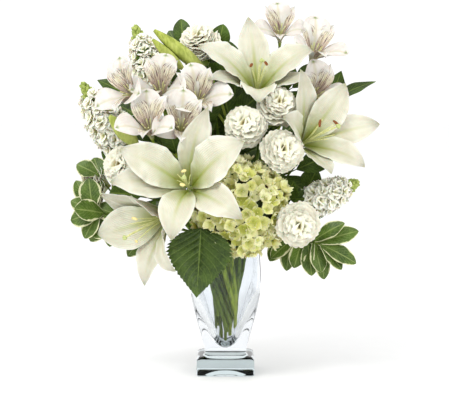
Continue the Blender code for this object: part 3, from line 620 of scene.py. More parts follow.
STEM = stem_finish("fresh_stem", linear(82, 108, 12), linear(158, 180, 52), linear(182, 190, 96))
GREY_STEM = stem_finish("grey_stem", linear(58, 82, 14), linear(110, 138, 40), linear(140, 156, 70))
BUD = stem_finish("lily_bud", linear(126, 138, 50), linear(166, 176, 82), linear(186, 192, 112))

# %% [markdown]
# A lily's stem parts into a short branch for each bloom and each bud. A bud is a long closed
# petal case with three grooves down it, so it is a tube with three lobes round.

# %% Lily stems and buds
BUDS = {  # base, tip and radius
    "top_bud": ((-26, -34, 424), (-98, -52, 483), 9.5),
    "small_bud": ((-58, -46, 430), (-100, -52, 471), 7.0),
    "left_bud": ((-120, -88, 328), (-156, -102, 367), 10.5),
}


def branch_path(points, step=3.0):
    """A smooth path whose first stretch isn't straight."""
    first = np.asarray(points[0], float)
    return smooth_path([first - unit(np.asarray(points[1], float) - first) * 2, *points], step=step)


def make_lily_stem(name, ring, points, branches, buds):
    """A stem with a branch to each lily and each bud, which leave it this far back from its tip. A bud's
    radius is r sin(pi (0.07 + 0.88 t^0.9))^0.8."""
    growth = Growth()
    path = stem_path(*ring, *points)
    radii = stem_radii(path, 3.0) * tapered(path, [0, 0.75, 1], [1, 0.95, 0.65])
    growth.tube(path, radii, 14, STEM)
    for back, lily in branches:
        start, leave = along(path, back)
        throat, facing = np.array(LILIES[lily][0], float), heading(*LILIES[lily][1])
        end = throat - facing * 6.0
        turn = end - facing * 14
        middle = start + (turn - start) * 0.5 + leave * 3
        line = branch_path([start, middle, turn, end])
        growth.tube(line, tapered(line, [0, 0.8, 1], [2.0, 1.9, 4.2]), 12, STEM)
    for back, bud in buds:
        start, leave = along(path, back)
        base, tip, radius = (np.asarray(b, float) for b in BUDS[bud])
        first = base - unit(tip - base) * 9
        line = branch_path([start, start + (first - start) * 0.5 + leave * 3, first, base])
        growth.tube(line, tapered(line, [0, 0.9, 1], [1.9, 1.8, 2.6]), 10, STEM)
        t = np.linspace(0, 1, 30)
        case = np.maximum(1.2, radius * np.sin(np.pi * (0.07 + 0.88 * t**0.9)) ** 0.8)
        growth.tube(base + (tip - base) * t[:, None], case, 30, BUD, lobes=3, lobe_depth=0.13)
    growth.piece(name + "_piece", [name], "green_stems")


make_lily_stem("lily_stem_left", ("outer", 6), ((-46, -40, 216), (-74, -46, 262), (-104, -64, 300)),
               ((70, "front_lily"), (88, "low_lily")), ((0, "left_bud"),))
make_lily_stem("lily_stem_top", ("inner", 3), ((4, -14, 280), (0, -22, 366)),
               ((6, "top_lily"),), ((0, "top_bud"), (14, "small_bud")))
make_lily_stem("lily_stem_right", ("outer", 12), ((52, 8, 226), (80, 2, 284)), ((0, "right_lily"),), ())

# %% [markdown]
# ## Alstroemerias
# Each bloom is a small funnel of six spoon-shaped petals. The three outer ones are plain with a
# green point, and the three inner ones are narrower, yellow in the middle and streaked with
# purple-brown. The streaks are short dashes that follow the petal, so they are a noise stretched along
# the marks and cut to thin strokes, held to the middle of the inner petals only.


# %% Alstroemeria finishes
def alstroemeria_finish(name, streaked):
    """White on a green base and rib, with streaks on a yellow patch or with a green point at the tip."""
    f = Finish(name, Subsurface_Weight=0.1, Subsurface_Scale=0.003)
    side = f.across.maths("ABSOLUTE")
    cloud = f.any.noise(70.0, 2.0)
    lines = f.mark.noise(1.0, 1.5, (4.5, 17.0, 40.0))
    coats = [
        ((1 - f.along.ramp(0.05, 0.5)) * 0.8, linear(168, 168, 96)),
        ((1 - side.ramp(0.0, 0.22)) * 0.45, linear(180, 176, 128)),
    ]
    if streaked:
        yellow = f.along.ramp(0.3, 0.5) * (1 - f.along.ramp(0.62, 0.85))
        blush = f.along.ramp(0.12, 0.3) * (1 - f.along.ramp(0.4, 0.6))
        dash = lines.ramp(0.545, 0.585) * f.along.ramp(0.16, 0.3) * (1 - f.along.ramp(0.7, 0.9))
        coats += [
            (yellow * 0.35, linear(208, 196, 132)),
            (blush * 0.4, linear(150, 112, 108)),
            (dash * 0.95, linear(78, 32, 48)),
        ]
    else:
        point = f.along.ramp(0.9, 0.985) * (1 - side.ramp(0.2, 0.7))
        coats += [(point * 0.9, linear(106, 128, 50)), (lines.ramp(0.56, 0.7) * 0.22, linear(176, 152, 140))]
    white = cloud.ramp(0.3, 0.7).tinted(linear(200, 195, 186), linear(216, 212, 205))
    f.set(Base_Color=painted(white, *coats), Roughness=0.42 + cloud * 0.2)
    f.relief(lines + cloud, 0.3)
    return f.material


PLAIN_PETAL = alstroemeria_finish("plain_petal", False)
STREAKED_PETAL = alstroemeria_finish("streaked_petal", True)


# %% Alstroemeria blooms
def funnel_petal(angle, half, peak, flare, reach, notch, rng):
    """The middle line is r = 2 + 27 flare s^1.5, z = 43 reach sin(s 90 degrees), where s is u, shortened
    or drawn out at the tip by the notch. The half width is sin(pi u^p)^0.8, widest at the share peak,
    and the lift is cup + waved margin - channel."""
    u, v = grid(26, 15)
    edge = np.abs(v)
    s = u * (1 + notch * (edge**2 - 0.3) * u**6)
    r, z = 2 + 27 * flare * s**1.5, 43 * reach * np.sin(s * np.pi / 2)
    lean = np.arctan2(40.5 * flare * s**0.5 + 0.3, 43 * reach * np.pi / 2 * np.cos(s * np.pi / 2))
    swell = peaked(u, peak) ** 0.8
    width = 1.1 * (1 - u) + 0.5 + half * swell
    ripple = 1.5 * np.sin(9 * u + rng.uniform(0, 6) + 2 * v) * edge**2 * swell
    channel = 0.6 * np.exp(-((v / 0.15) ** 2)) * swell
    lift = width * 0.2 * edge**2 + ripple - channel
    sheet = np.stack([r - np.cos(lean) * lift, v * width, z + np.sin(lean) * lift], -1)
    return turned(sheet, angle), u, v


ALSTROEMERIAS = {  # throat, the way it faces, and its roll
    "alstroemeria_bloom_1": ((-99, -92, 336), (-12, 40), 0),
    "alstroemeria_bloom_2": ((-62, -78, 341), (6, 30), -8),
    "alstroemeria_bloom_3": ((-40, -47, 377), (8, 32), 14),
    "alstroemeria_bloom_4": ((-88, -44, 386), (-6, 42), -6),
    "alstroemeria_bloom_5": ((-117, -60, 388), (-40, 24), 12),
    "alstroemeria_bloom_6": ((78, 52, 468), (-2, 42), 0),
    "alstroemeria_bloom_7": ((121, 30, 438), (20, 46), -10),
    "alstroemeria_bloom_8": ((118, 16, 384), (26, 24), 16),
}


def make_alstroemeria(name, throat, facing, roll, grown):
    """Three broad outer petals, three narrow inner ones, six stamens and the green knob below. Petals
    are grown times the size of the small bloom's."""
    growth, rng, axes = Growth(), np.random.default_rng(int(name[-1]) + 40), flower_axes(facing, roll)
    throat = np.array(throat, float)
    for angle in (90, 208, 332):
        tall = 1.06 if angle == 90 else rng.uniform(0.88, 0.98)
        turn, flare = angle + rng.uniform(-7, 7), rng.uniform(1.25, 1.4)
        sheet, u, v = funnel_petal(turn, 17.0, 0.72, flare, tall, 0.05, rng)
        growth.sheet(throat + sheet * grown @ axes, u, v, rng.uniform(), 0.7, PLAIN_PETAL)
    for angle, broad in ((52, 9.2), (128, 9.2), (270, 7.5)):
        turn, flare, tall = angle + rng.uniform(-6, 6), rng.uniform(1.15, 1.32), rng.uniform(1.0, 1.08)
        sheet, u, v = funnel_petal(turn, broad, 0.66, flare, tall, -0.1, rng)
        growth.sheet(throat + sheet * grown @ axes, u, v, rng.uniform(), 0.6, STREAKED_PETAL)
    t = np.linspace(0, 1, 10)
    for k in range(6):
        line = turned(np.stack([1 + 7 * t**2, 0 * t, 1 + 33 * t], -1), 60 * k + rng.uniform(-14, 14))
        radii = np.interp(t, [0, 0.85, 0.9, 1], [0.6, 0.4, 1.1, 0.7])
        growth.tube(throat + line @ axes, radii, 6, FILAMENT)
    knob = np.stack([0 * t, 0 * t, -2.6 + 9 * t], -1)
    growth.tube(throat + knob @ axes, 1.0 + 2.0 * np.sin(np.pi * t) ** 0.7, 12, STEM)
    growth.piece(name + "_petals", [name], "alstroemeria_petals")


SMALL_BLOOM = "alstroemeria_bloom_6"
for bloom, (throat, facing, roll) in ALSTROEMERIAS.items():
    make_alstroemeria(bloom, throat, facing, roll, 1.0 if bloom == SMALL_BLOOM else 1.12)


# %% Alstroemeria stems
def make_alstroemeria_stem(name, ring, points, blooms):
    """A stem that parts at its tip into a stalk for each bloom."""
    growth = Growth()
    path = stem_path(*ring, *points)
    growth.tube(path, stem_radii(path, 2.1), 12, STEM)
    tip = path[-1] - unit(path[-1] - path[-2]) * 2
    for bloom in blooms:
        throat, facing, _ = ALSTROEMERIAS[bloom]
        end = np.array(throat, float) - heading(*facing) * 2.0
        turn = end - heading(*facing) * 16
        line = branch_path([tip, tip + (turn - tip) * 0.55, turn, end])
        growth.tube(line, tapered(line, [0, 0.85, 1], [1.5, 1.2, 2.4]), 9, STEM)
    growth.piece(name + "_piece", [name], "green_stems")


bloom_names = list(ALSTROEMERIAS)
left_way, right_way = ((-30, -20, 250), (-70, -36, 312)), ((38, 20, 270), (90, 34, 372))
make_alstroemeria_stem("alstroemeria_stem_left", ("inner", 2), left_way, bloom_names[:5])
make_alstroemeria_stem("alstroemeria_stem_right", ("inner", 5), right_way, bloom_names[5:])

# %% [markdown]
# ## Frilled flowers
# A carnation's head and each floret of a stock are the same idea: many thin fans crowded round an
# axis, upright in the middle and laid out at the rim, each with a waved and toothed edge. One
# function grows such a rosette. The petals take their places by the golden angle, which never lines
# two of them up, and all of them are worked out in one array.


# %% Rosettes of fans
def rosette(radius, depth, count, rows, columns, frill, widest, rng, open_to, toothed):
    """Each petal's middle line is the quadratic Bezier (1-s)^2 A + 2 s (1-s) Q + s^2 T from the base A to a
    point T of the dome. Its half width grows as s^1.2, and its edge waves by frill s^2.5 times two sines."""
    k = np.arange(count)
    theta = np.radians(open_to * ((k + 0.5) / count) ** 0.62)[:, None, None]
    phi = (k * GOLDEN + rng.normal(0, 0.14, count))[:, None, None]
    u, v = np.linspace(0, 1, rows)[None, :, None], np.linspace(-1, 1, columns)[None, None]
    size = rng.uniform(0.86, 1.06, count)[:, None, None]
    phase = rng.uniform(0, 6.28, (2, count))[:, :, None, None]
    teeth = toothed * (0.035 * np.sin(13 * v + phase[0]) + 0.025 * np.sin(29 * v + phase[1]))
    s = u * (1 - 0.13 * v**2 + teeth * u)
    top_r, top_z = radius * np.sin(theta) * size, depth * np.cos(theta) * size
    base_z = (-0.85 + 0.7 * np.cos(theta).clip(0, 1) ** 3) * depth
    bow_r, bow_z = radius * 0.42 * np.sin(theta), base_z + (depth + top_z) * 0.75
    r = 2 * s * (1 - s) * bow_r + s * s * top_r
    z = (1 - s) ** 2 * base_z + 2 * s * (1 - s) * bow_z + s * s * top_z
    slope_r = 2 * (1 - 2 * s) * bow_r + 2 * s * top_r
    slope_z = 2 * (s - 1) * base_z + 2 * (1 - 2 * s) * bow_z + 2 * s * top_z
    norm = np.maximum(np.hypot(slope_r, slope_z), 1e-6)
    ruffle = np.sin(3.6 * v + phase[0]) + 0.5 * toothed * np.sin(9 * v + phase[1])
    grown = np.clip(s, 0, 2)
    wave = frill * grown**2.5 * ruffle + 0.3 * widest * v**2 * s
    r, z = r - slope_z / norm * wave, z + slope_r / norm * wave
    side = v * (0.06 * widest + widest * grown**1.2)
    x = r * np.cos(phi) - side * np.sin(phi)
    y = r * np.sin(phi) + side * np.cos(phi)
    tint = np.broadcast_to((k / count)[:, None, None], x.shape)
    return np.stack([x, y, z], -1), u, v, tint


# %% Frilled finishes
def frill_finish(name, edge, body, deep):
    """The body colour from deep at the base to edge at the rim, with faint veins along the petal."""
    f = Finish(name, Subsurface_Weight=0.12, Subsurface_Scale=0.003)
    cloud = f.any.noise(160.0, 2.0)
    veins = f.mark.noise(1.0, 2.0, (2.0, 16.0, 30.0))
    colour = painted(
        f.along.ramp(0.45, 0.95).tinted(body, edge),
        ((1 - f.along.ramp(0.1, 0.55)) * 0.85, deep),
        (veins.ramp(0.5, 0.7) * 0.18, body),
    )
    f.set(Base_Color=colour, Roughness=0.55 + cloud * 0.2)
    f.relief(veins + cloud, 0.25)
    return f.material


CARNATION = frill_finish(
    "carnation_frill", linear(228, 225, 208), linear(214, 208, 170), linear(176, 174, 104)
)
STOCK = frill_finish("stock_floret", linear(240, 238, 226), linear(230, 227, 200), linear(184, 188, 118))
STOCK_BUD = matt_finish("stock_bud", linear(120, 138, 52), linear(176, 188, 98), 260.0, 0.5)

# %% Carnations
CARNATIONS = {  # middle, the way it faces, its place among the stems, and points on the way up
    "carnation_1": ((-36, -6, 466), (-20, 46), ("centre", 0), ((-6, 0, 300), (-20, 0, 400))),
    "carnation_2": ((27, -84, 352), (-8, 22), ("inner", 4), ((14, -8, 250), (18, -20, 320))),
    "carnation_3": ((71, -63, 377), (12, 34), ("inner", 6), ((40, -4, 270), (50, -14, 340))),
    "carnation_4": ((76, -96, 320), (14, 12), ("outer", 8), ((44, -14, 240), (58, -18, 310))),
    "carnation_5": ((98, -112, 221), (6, -2), ("outer", 9), ((38, -15, 202), (75, -33, 214))),
    "carnation_6": ((-140, -60, 297), (-34, 14), ("outer", 4), ((-70, -22, 232),)),
    "carnation_7": ((-178, -28, 268), (-84, 2), ("outer", 3), ((-80, -8, 236),)),
}


def make_carnation(name, middle, facing, ring, via):
    """A dome of 70 frilled petals over a calyx of radius 2.6 + 5 sin(0.62 pi t)^0.8, on its stem."""
    growth, rng, axes = Growth(), np.random.default_rng(int(name[-1]) + 70), flower_axes(facing)
    middle, face, depth = np.array(middle, float), heading(*facing), 20.9
    path = stem_path(*ring, *via, middle - face * (depth + 22), end=face)
    path = np.concatenate([path, [middle - face * (depth + 18)]])
    growth.tube(path, stem_radii(path, 2.1), 12, GREY_STEM)
    t = np.linspace(0, 1, 14)[:, None]
    calyx = 2.6 + 5.0 * np.sin(np.pi * t[:, 0] * 0.62) ** 0.8
    growth.tube(middle - face * (depth + 20 - 22 * t), calyx, 14, GREY_STEM, lobes=5, lobe_depth=0.05)
    sheets, u, v, tint = rosette(30.0, depth, count=70, rows=10, columns=13, frill=1.5, widest=14.5,
                                 rng=rng, open_to=112.0, toothed=0.6)
    growth.sheet(middle + sheets @ axes, u, v, tint, 0.5, CARNATION)
    growth.piece(name + "_bloom", [name], "carnation_heads")


for flower, parts in CARNATIONS.items():
    make_carnation(flower, *parts)

# %% [markdown]
# A stock is a spike of double florets with green buds at its tip. Each floret is a small rosette,
# set round the spike by the golden angle and leaning up it. The lower florets are open and the upper
# ones are still small.

# %% Stocks
STOCKS = {  # the spike's foot, tip and radius, the stem's place, and points on the way up
    "stock_left": (
        (-150, -24, 330), (-200, -30, 412), 35.0, ("outer", 2), ((-74, 10, 236), (-112, -2, 284))),
    "stock_top": ((-100, 4, 408), (-128, 4, 492), 30.0, ("inner", 1), ((-50, 6, 300),)),
    "stock_right": ((122, -40, 246), (184, -44, 274), 29.0, ("outer", 11), ((70, -10, 218),)),
}


# %% Directions round a spike
def axes_toward(forward, roll):
    """Rows are two axes square to a direction, turned by roll about it, and the direction."""
    forward = unit(forward)
    helper = np.array([0.0, 0.0, 1.0]) if abs(forward[2]) < 0.9 else np.array([1.0, 0.0, 0.0])
    a = unit(np.cross(helper, forward))
    b = np.cross(forward, a)
    c, s = math.cos(roll), math.sin(roll)
    return np.stack([a * c + b * s, b * c - a * s, forward])


def spoke(axes, angle):
    """The direction a cos w + b sin w, square to the third axis."""
    return axes[0] * math.cos(angle) + axes[1] * math.sin(angle)


# %% Spikes
def make_stock(name, foot, tip, radius, ring, via, florets=36, tip_buds=18):
    """Florets up to 0.8 of the spike's length, smaller towards the tip, and green buds above them."""
    growth, rng = Growth(), np.random.default_rng(len(name) + 11)
    foot, tip = np.array(foot, float), np.array(tip, float)
    line, length = unit(tip - foot), np.linalg.norm(tip - foot)
    path = stem_path(*ring, *via, foot - line * 12, end=line)
    path = np.concatenate([path, foot + line * length * np.linspace(0, 0.94, 12)[:, None]])
    steps = len(path)
    taper = np.interp(np.arange(steps), [0, steps - 14, steps - 1], [2.4, 2.2, 1.0])
    growth.tube(path, stem_radii(path, 0) + taper, 12, GREY_STEM)
    spike = axes_toward(line, 0.0)
    for k in range(florets):
        t = -0.06 + 0.86 * (k / (florets - 1)) ** 1.05
        swell = float(np.interp(t, [0, 0.16, 0.4, 0.62, 0.8], [0.9, 1.0, 0.95, 0.78, 0.55]))
        out = spoke(spike, k * GOLDEN + 0.5)
        forward = unit(out + line * (0.25 + 0.9 * t))
        middle = foot + line * length * t + out * radius * swell * 0.62
        size = radius * swell * rng.uniform(0.4, 0.5)
        sheets, u, v, tint = rosette(size, size * 0.5, count=11, rows=6, columns=6, frill=0.9 * swell,
                                     widest=size * 0.52, rng=rng, open_to=104.0, toothed=0.3)
        axes = axes_toward(forward, rng.uniform(0, 6))
        growth.sheet(middle + sheets @ axes, u, v, tint, 0.5, STOCK)
    s = np.linspace(0, 1, 8)
    for k in range(tip_buds):
        t = 0.76 + 0.24 * k / (tip_buds - 1)
        out = spoke(spike, k * GOLDEN)
        base = foot + line * length * (t - 0.06) + out * 1.2
        end = base + (out * (1.25 - t) * 2.0 + line) * (10 - 4 * (t - 0.76) / 0.24)
        radii = 0.4 + 4.6 * np.sin(np.pi * (0.05 + 0.9 * s)) ** 0.8 * (1.5 - t)
        growth.tube(base + (end - base) * s[:, None], radii, 8, STOCK_BUD)
    growth.piece(name + "_spike", [name], "stock_spikes")


for flower, parts in STOCKS.items():
    make_stock(flower, *parts)

# %% [markdown]
# ## Hydrangea
# The head is a dome of florets, each with four rounded petals round a bead. There are nearly two
# hundred, so one petal is kept to a few faces, and the whole dome is worked out at once: places
# on the dome by the golden angle, a frame for each floret, and four petals turned in that frame.


# %% Hydrangea finish
def hydrangea_finish():
    """Each petal's tint picks its colour, from green to cream, with a pale rim, a green heart and veins."""
    f = Finish("hydrangea_petal", Subsurface_Weight=0.1, Subsurface_Scale=0.003)
    stops = [(0.0, linear(180, 184, 72)), (0.3, linear(214, 213, 116)),
             (0.62, linear(234, 230, 164)), (1.0, linear(242, 240, 208))]
    veins = f.mark.noise(1.0, 2.0, (3.0, 9.0, 60.0))
    cloud = f.any.noise(120.0, 2.0)
    colour = painted(
        f.tint.node("ValToRGB", {"stops": stops}, {0: f.tint}),
        (f.along.ramp(0.55, 1.0) * 0.7, linear(236, 234, 200)),
        ((1 - f.along.ramp(0.05, 0.6)) * 0.75, linear(150, 158, 48)),
        (veins.ramp(0.5, 0.7) * 0.35, linear(150, 156, 70)),
    )
    f.set(Base_Color=colour, Roughness=0.5 + cloud * 0.2)
    f.relief(veins + cloud, 0.4)
    return f.material


HYDRANGEA = hydrangea_finish()
HYDRANGEA_BEAD = matt_finish("hydrangea_bead", linear(150, 160, 60), linear(206, 204, 110), 500.0, 0.5)
# painted shade: the core's dark green stands for the shade deep inside the head, behind the florets
HYDRANGEA_SHADE_CORE = matt_finish("hydrangea_shade_core", linear(44, 56, 18), linear(70, 84, 30), 120.0, 0.7, 1.0)


# %% Hydrangea florets
def floret_petals(places, forward, rng):
    """Four petals to a floret, a quarter turn apart. A petal of size a is (a u (1 - 0.1 u v^2), v w,
    a (c u^2 + 0.26 u v^2 + a small wave)), where c is its cup and the half width w is
    a (0.05 + 0.52 sin(pi (0.03 + 0.94 u)^0.9)^0.6)."""
    count = len(places)
    a = unit(np.cross(forward, np.array([0.3, 0.9, 0.1])))
    b = np.cross(forward, a)
    spin = rng.uniform(0, 6.28, count)[:, None]
    a, b = a * np.cos(spin) + b * np.sin(spin), b * np.cos(spin) - a * np.sin(spin)
    u, v = np.linspace(0, 1, 5)[None, None, :, None], np.linspace(-1, 1, 5)[None, None, None]
    size = rng.uniform(8.8, 12.4, count)[:, None, None, None]
    size = size * rng.uniform(0.92, 1.08, (count, 4))[..., None, None]
    width = size * (0.05 + 0.52 * np.clip(np.sin(np.pi * (0.03 + 0.94 * u) ** 0.9), 0, 1) ** 0.6)
    x, y = size * u * (1 - 0.1 * v**2 * u), v * width
    cup = rng.uniform(0.15, 0.75, count)[:, None, None, None]
    z = size * (cup * u**2 + 0.26 * v**2 * u + 0.06 * np.sin(5 * v + 9 * u))
    quarter = (np.arange(4) * np.pi / 2)[None, :, None, None]
    x, y = x * np.cos(quarter) - y * np.sin(quarter), x * np.sin(quarter) + y * np.cos(quarter)
    right, up, out = (c[:, None, None, None, :] for c in (a, b, forward))
    sheets = places[:, None, None, None] + x[..., None] * right + y[..., None] * up + z[..., None] * out
    tint = np.clip(rng.beta(2.0, 2.4, (count, 1)) + rng.normal(0, 0.06, (count, 4)), 0, 1)
    tint = np.broadcast_to(tint[:, :, None, None], (count, 4, 5, 5)).reshape(-1, 5, 5)
    return sheets.reshape(-1, 5, 5, 3), u[0], v[0], tint


# %% Hydrangea head
def make_hydrangea(middle, facing, radius, count):
    """Floret k sits at height t = 1 - 1.6 (k + 0.5) / count on the dome (depth t, radius sqrt(1 - t^2)).
    Each has a bead at its heart, and a dark core fills the dome behind them: it stands for the stalks
    inside, and its dark green is painted shade."""
    growth, rng, axes = Growth(), np.random.default_rng(5), flower_axes(facing)
    middle, depth = np.array(middle, float), radius * 0.72
    k = np.arange(count)
    t, angle = 1 - 1.6 * (k + 0.5) / count, k * GOLDEN
    ring = np.sqrt(np.clip(1 - t * t, 0, 1))
    places = np.stack([radius * ring * np.cos(angle), radius * ring * np.sin(angle), depth * t], -1)
    forward = unit(unit(places / [radius**2, radius**2, depth**2]) + rng.normal(0, 0.26, (count, 3)))
    places = places * (0.95 + rng.uniform(-0.09, 0.08, (count, 1)))
    sheets, u, v, tint = floret_petals(places, forward, rng)
    growth.sheet(middle + sheets @ axes, u, v, tint, 0.6, HYDRANGEA)
    s = np.linspace(0, 1, 5)
    for place, way in zip(places, forward):
        line = place + way * (s[:, None] * 3.2 - 0.8)
        growth.tube(middle + line @ axes, 1.5 * np.sin(np.pi * (0.15 + 0.75 * s)), 6, HYDRANGEA_BEAD)
    # the core stands for the stalks inside the head, in a dark green that is painted shade
    core = np.linspace(-0.8, 0.96, 22)
    core_line = middle + np.outer(core * depth * 0.84, axes[2])
    growth.tube(core_line, radius * 0.84 * np.sqrt(1 - core**2), 36, HYDRANGEA_SHADE_CORE)
    path = stem_path("outer", 7, (10, -30, 210), middle - axes[2] * (depth * 0.62 + 14), end=axes[2])
    path = np.concatenate([path, [middle - axes[2] * depth * 0.3]])
    growth.tube(path, stem_radii(path, 3.0), 12, STEM)
    growth.piece("hydrangea_head", ["hydrangea"], "hydrangea_florets")


make_hydrangea((20, -80, 242), (10, 8), 64.0, 190)

# %% [markdown]
# ## Leaves
# A leaf is a sheet folded a little along its rib, drooping to its tip, with side veins that sink
# between raised panels. The veins are real relief here, from a wave of (along - across), since the
# broad leaf catches light on each panel. A bump alone would look flat at the leaf's outline, where the
# serrated margin and the panels meet.


# %% Leaf finish
VEINS, SLANT = 9.0, 0.34  # side veins along a leaf, and how far each falls back on its way out


def leaf_finish(name, deep, light, vein, margin=None, gloss=0.35, rib_width=0.1):
    """Mottled green with a pale rib and side veins, and with a ragged margin of its own colour if any."""
    f = Finish(name, IOR=1.45, Specular_IOR_Level=0.3, Coat_Weight=0.06, Coat_Roughness=0.3)
    side = f.across.maths("ABSOLUTE")
    cloud, fine = f.any.noise(60.0, 3.0), f.any.noise(420.0, 2.0)
    rib = 1 - side.ramp(rib_width * 0.2, rib_width)
    wave = (f.along * VEINS - side * VEINS * SLANT + cloud * 0.25).maths("FRACT")
    line = (wave - 0.5).maths("ABSOLUTE").ramp(0.40, 0.5)
    coats = [(f.tint.ramp(0.0, 1.0) * 0.35, light), (fine.ramp(0.4, 0.7) * 0.18, vein)]
    if margin:
        ragged = side + cloud * 0.5 + f.mark.noise(1.0, 2.0, (7.0, 3.0, 20.0)) * 0.35
        coats.append((ragged.ramp(1.24, 1.34), margin))
    coats += [(line * 0.35, vein), (rib * 0.7, vein)]
    colour = painted(cloud.ramp(0.3, 0.7).tinted(deep, light), *coats)
    f.set(Base_Color=colour, Roughness=gloss + fine * 0.18)
    f.relief(fine * 0.4 + cloud - line * 0.5, 0.3)
    return f.material


DARK_LEAF = leaf_finish("dark_leaf", linear(38, 58, 12), linear(66, 92, 22), linear(118, 138, 58))
BROAD_LEAF = leaf_finish("hydrangea_leaf", linear(34, 54, 10), linear(58, 80, 20), linear(116, 138, 62),
                         gloss=0.4, rib_width=0.035)
CREAM_LEAF = leaf_finish("variegated_leaf", linear(44, 68, 14), linear(82, 108, 32), linear(138, 152, 86),
                         margin=linear(206, 206, 164))
TWIG = stem_finish("twig", linear(48, 66, 12), linear(92, 112, 30), linear(110, 124, 48))


# %% Leaf sheets
DROOP = 24  # degrees from a sprig leaf's base to its tip


def leaf_sheet(length, half, peak, fullness, droop, fold, rng,
               teeth=0, quilt=0.0, rows=30, columns=13, wave=0.8):
    """(v w, L u sin(b)/b, -L u (1 - cos b)/b + fold w |v| + waves): b is the droop times u, and w the half
    width max(1.2 (1 - u), 0.4) + (half - 0.4) sin(pi u^p)^f. Teeth lengthen w in a sawtooth, and the
    quilt lifts a panel between each two veins, which lie at even steps of along - SLANT across."""
    u, v = grid(rows, columns)
    edge = np.abs(v)
    swell = peaked(u, peak) ** fullness
    width = np.maximum(1.2 * (1 - u), 0.4) + (half - 0.4) * swell
    if teeth:
        width = width * (1 + 0.13 * (u * teeth % 1.0) * edge**4)
    bend = np.radians(droop) * u + 1e-6
    panel = quilt * np.abs(np.sin(np.pi * (u * VEINS - edge * VEINS * SLANT)))
    panel = panel * swell * (1 - 0.6 * edge**4) * (edge > 0.05)
    margin = wave * np.sin(2 * np.pi * 2.3 * u + rng.uniform(0, 6) + 1.5 * v) * edge**2 * swell
    lift = fold * width * edge + margin + panel
    ahead, sink = length * u * np.sin(bend) / bend, length * u * (1 - np.cos(bend)) / bend
    return np.stack([v * width, ahead + 0 * v, lift - sink], -1), u, v


# %% The hydrangea's leaf
def make_hydrangea_leaf():
    """One broad toothed leaf that hangs in front of the vase's rim, on its own stalk."""
    growth, rng = Growth(), np.random.default_rng(3)
    base = np.array([-33.0, -114.0, 216.0])
    sheet, u, v = leaf_sheet(94, 40, peak=0.33, fullness=1.05, droop=-14, fold=0.1, rng=rng,
                             teeth=19, quilt=2.2, rows=121, columns=41, wave=1.6)
    growth.sheet(base + sheet @ leaf_axes((-20, -80), (0, 30)), u, v, 0.3, 0.9, BROAD_LEAF)
    stalk = [(-9, -40, 176), (-12, -41, 195), (-31, -53, 200), (-42, -82, 207), base + heading(-4, -82) * 10]
    growth.tube(branch_path(stalk), 1.5, 10, STEM)
    growth.piece("hydrangea_leaf_blade", ["hydrangea_leaf"], "foliage")


make_hydrangea_leaf()

# %% [markdown]
# ## Sprigs
# Foliage fills the gaps: a cream-edged sprig low on each side, broad dark leaves behind, and pointed
# ones at the shoulders. A sprig is a twig with leaves listed by how far back from the tip they grow,
# which way they point, their length, half width and roll. Its side twigs are listed by how far back
# they leave, the points they pass and their own leaves. Where leaves follow a rule, a function lists
# them: one on each side in turn on the sprigs at the rear, and a dense spray between the blooms.


# %% Rules for leaves
def alternate(way, count, spacing, spread, length, half):
    """Leaves on both sides of a twig in turn, behind one that goes on along its heading. Leaf k points
    spread degrees to its side, 14 + 7 k degrees lower, and is 1 - 0.03 k as long."""
    leaves = [(0, way, length, half, 0)]
    for k in range(1, count):
        toward = (way[0] + (1 if k % 2 else -1) * spread, way[1] - 14 - 7 * k)
        leaves.append((k * spacing, toward, length * (1 - 0.03 * k), half, 0))
    return tuple(leaves)


def spray(way, count, spacing, length, half):
    """Leaves by the golden angle round a side twig: leaf k points 75 cos w degrees aside and 50 sin w
    degrees up from the way the twig goes, where w is 137.5 k degrees."""
    leaves = [(0, way, length, half, 0)]
    for k in range(1, count):
        turn = math.radians(k * 137.5)
        toward = (way[0] + 75 * math.cos(turn), way[1] + 50 * math.sin(turn))
        size = length * (0.8 + 0.2 * (k % 3) / 2), half * (0.9 + 0.1 * (k % 2))
        leaves.append((k * spacing, toward, *size, 14 * (k % 3 - 1)))
    return tuple(leaves)


def side_twigs(rule, *rows):
    """A side twig for each row: how far back it leaves, its two points, and what the rule needs."""
    return tuple((back, (first, last), rule(*rest)) for back, first, last, *rest in rows)


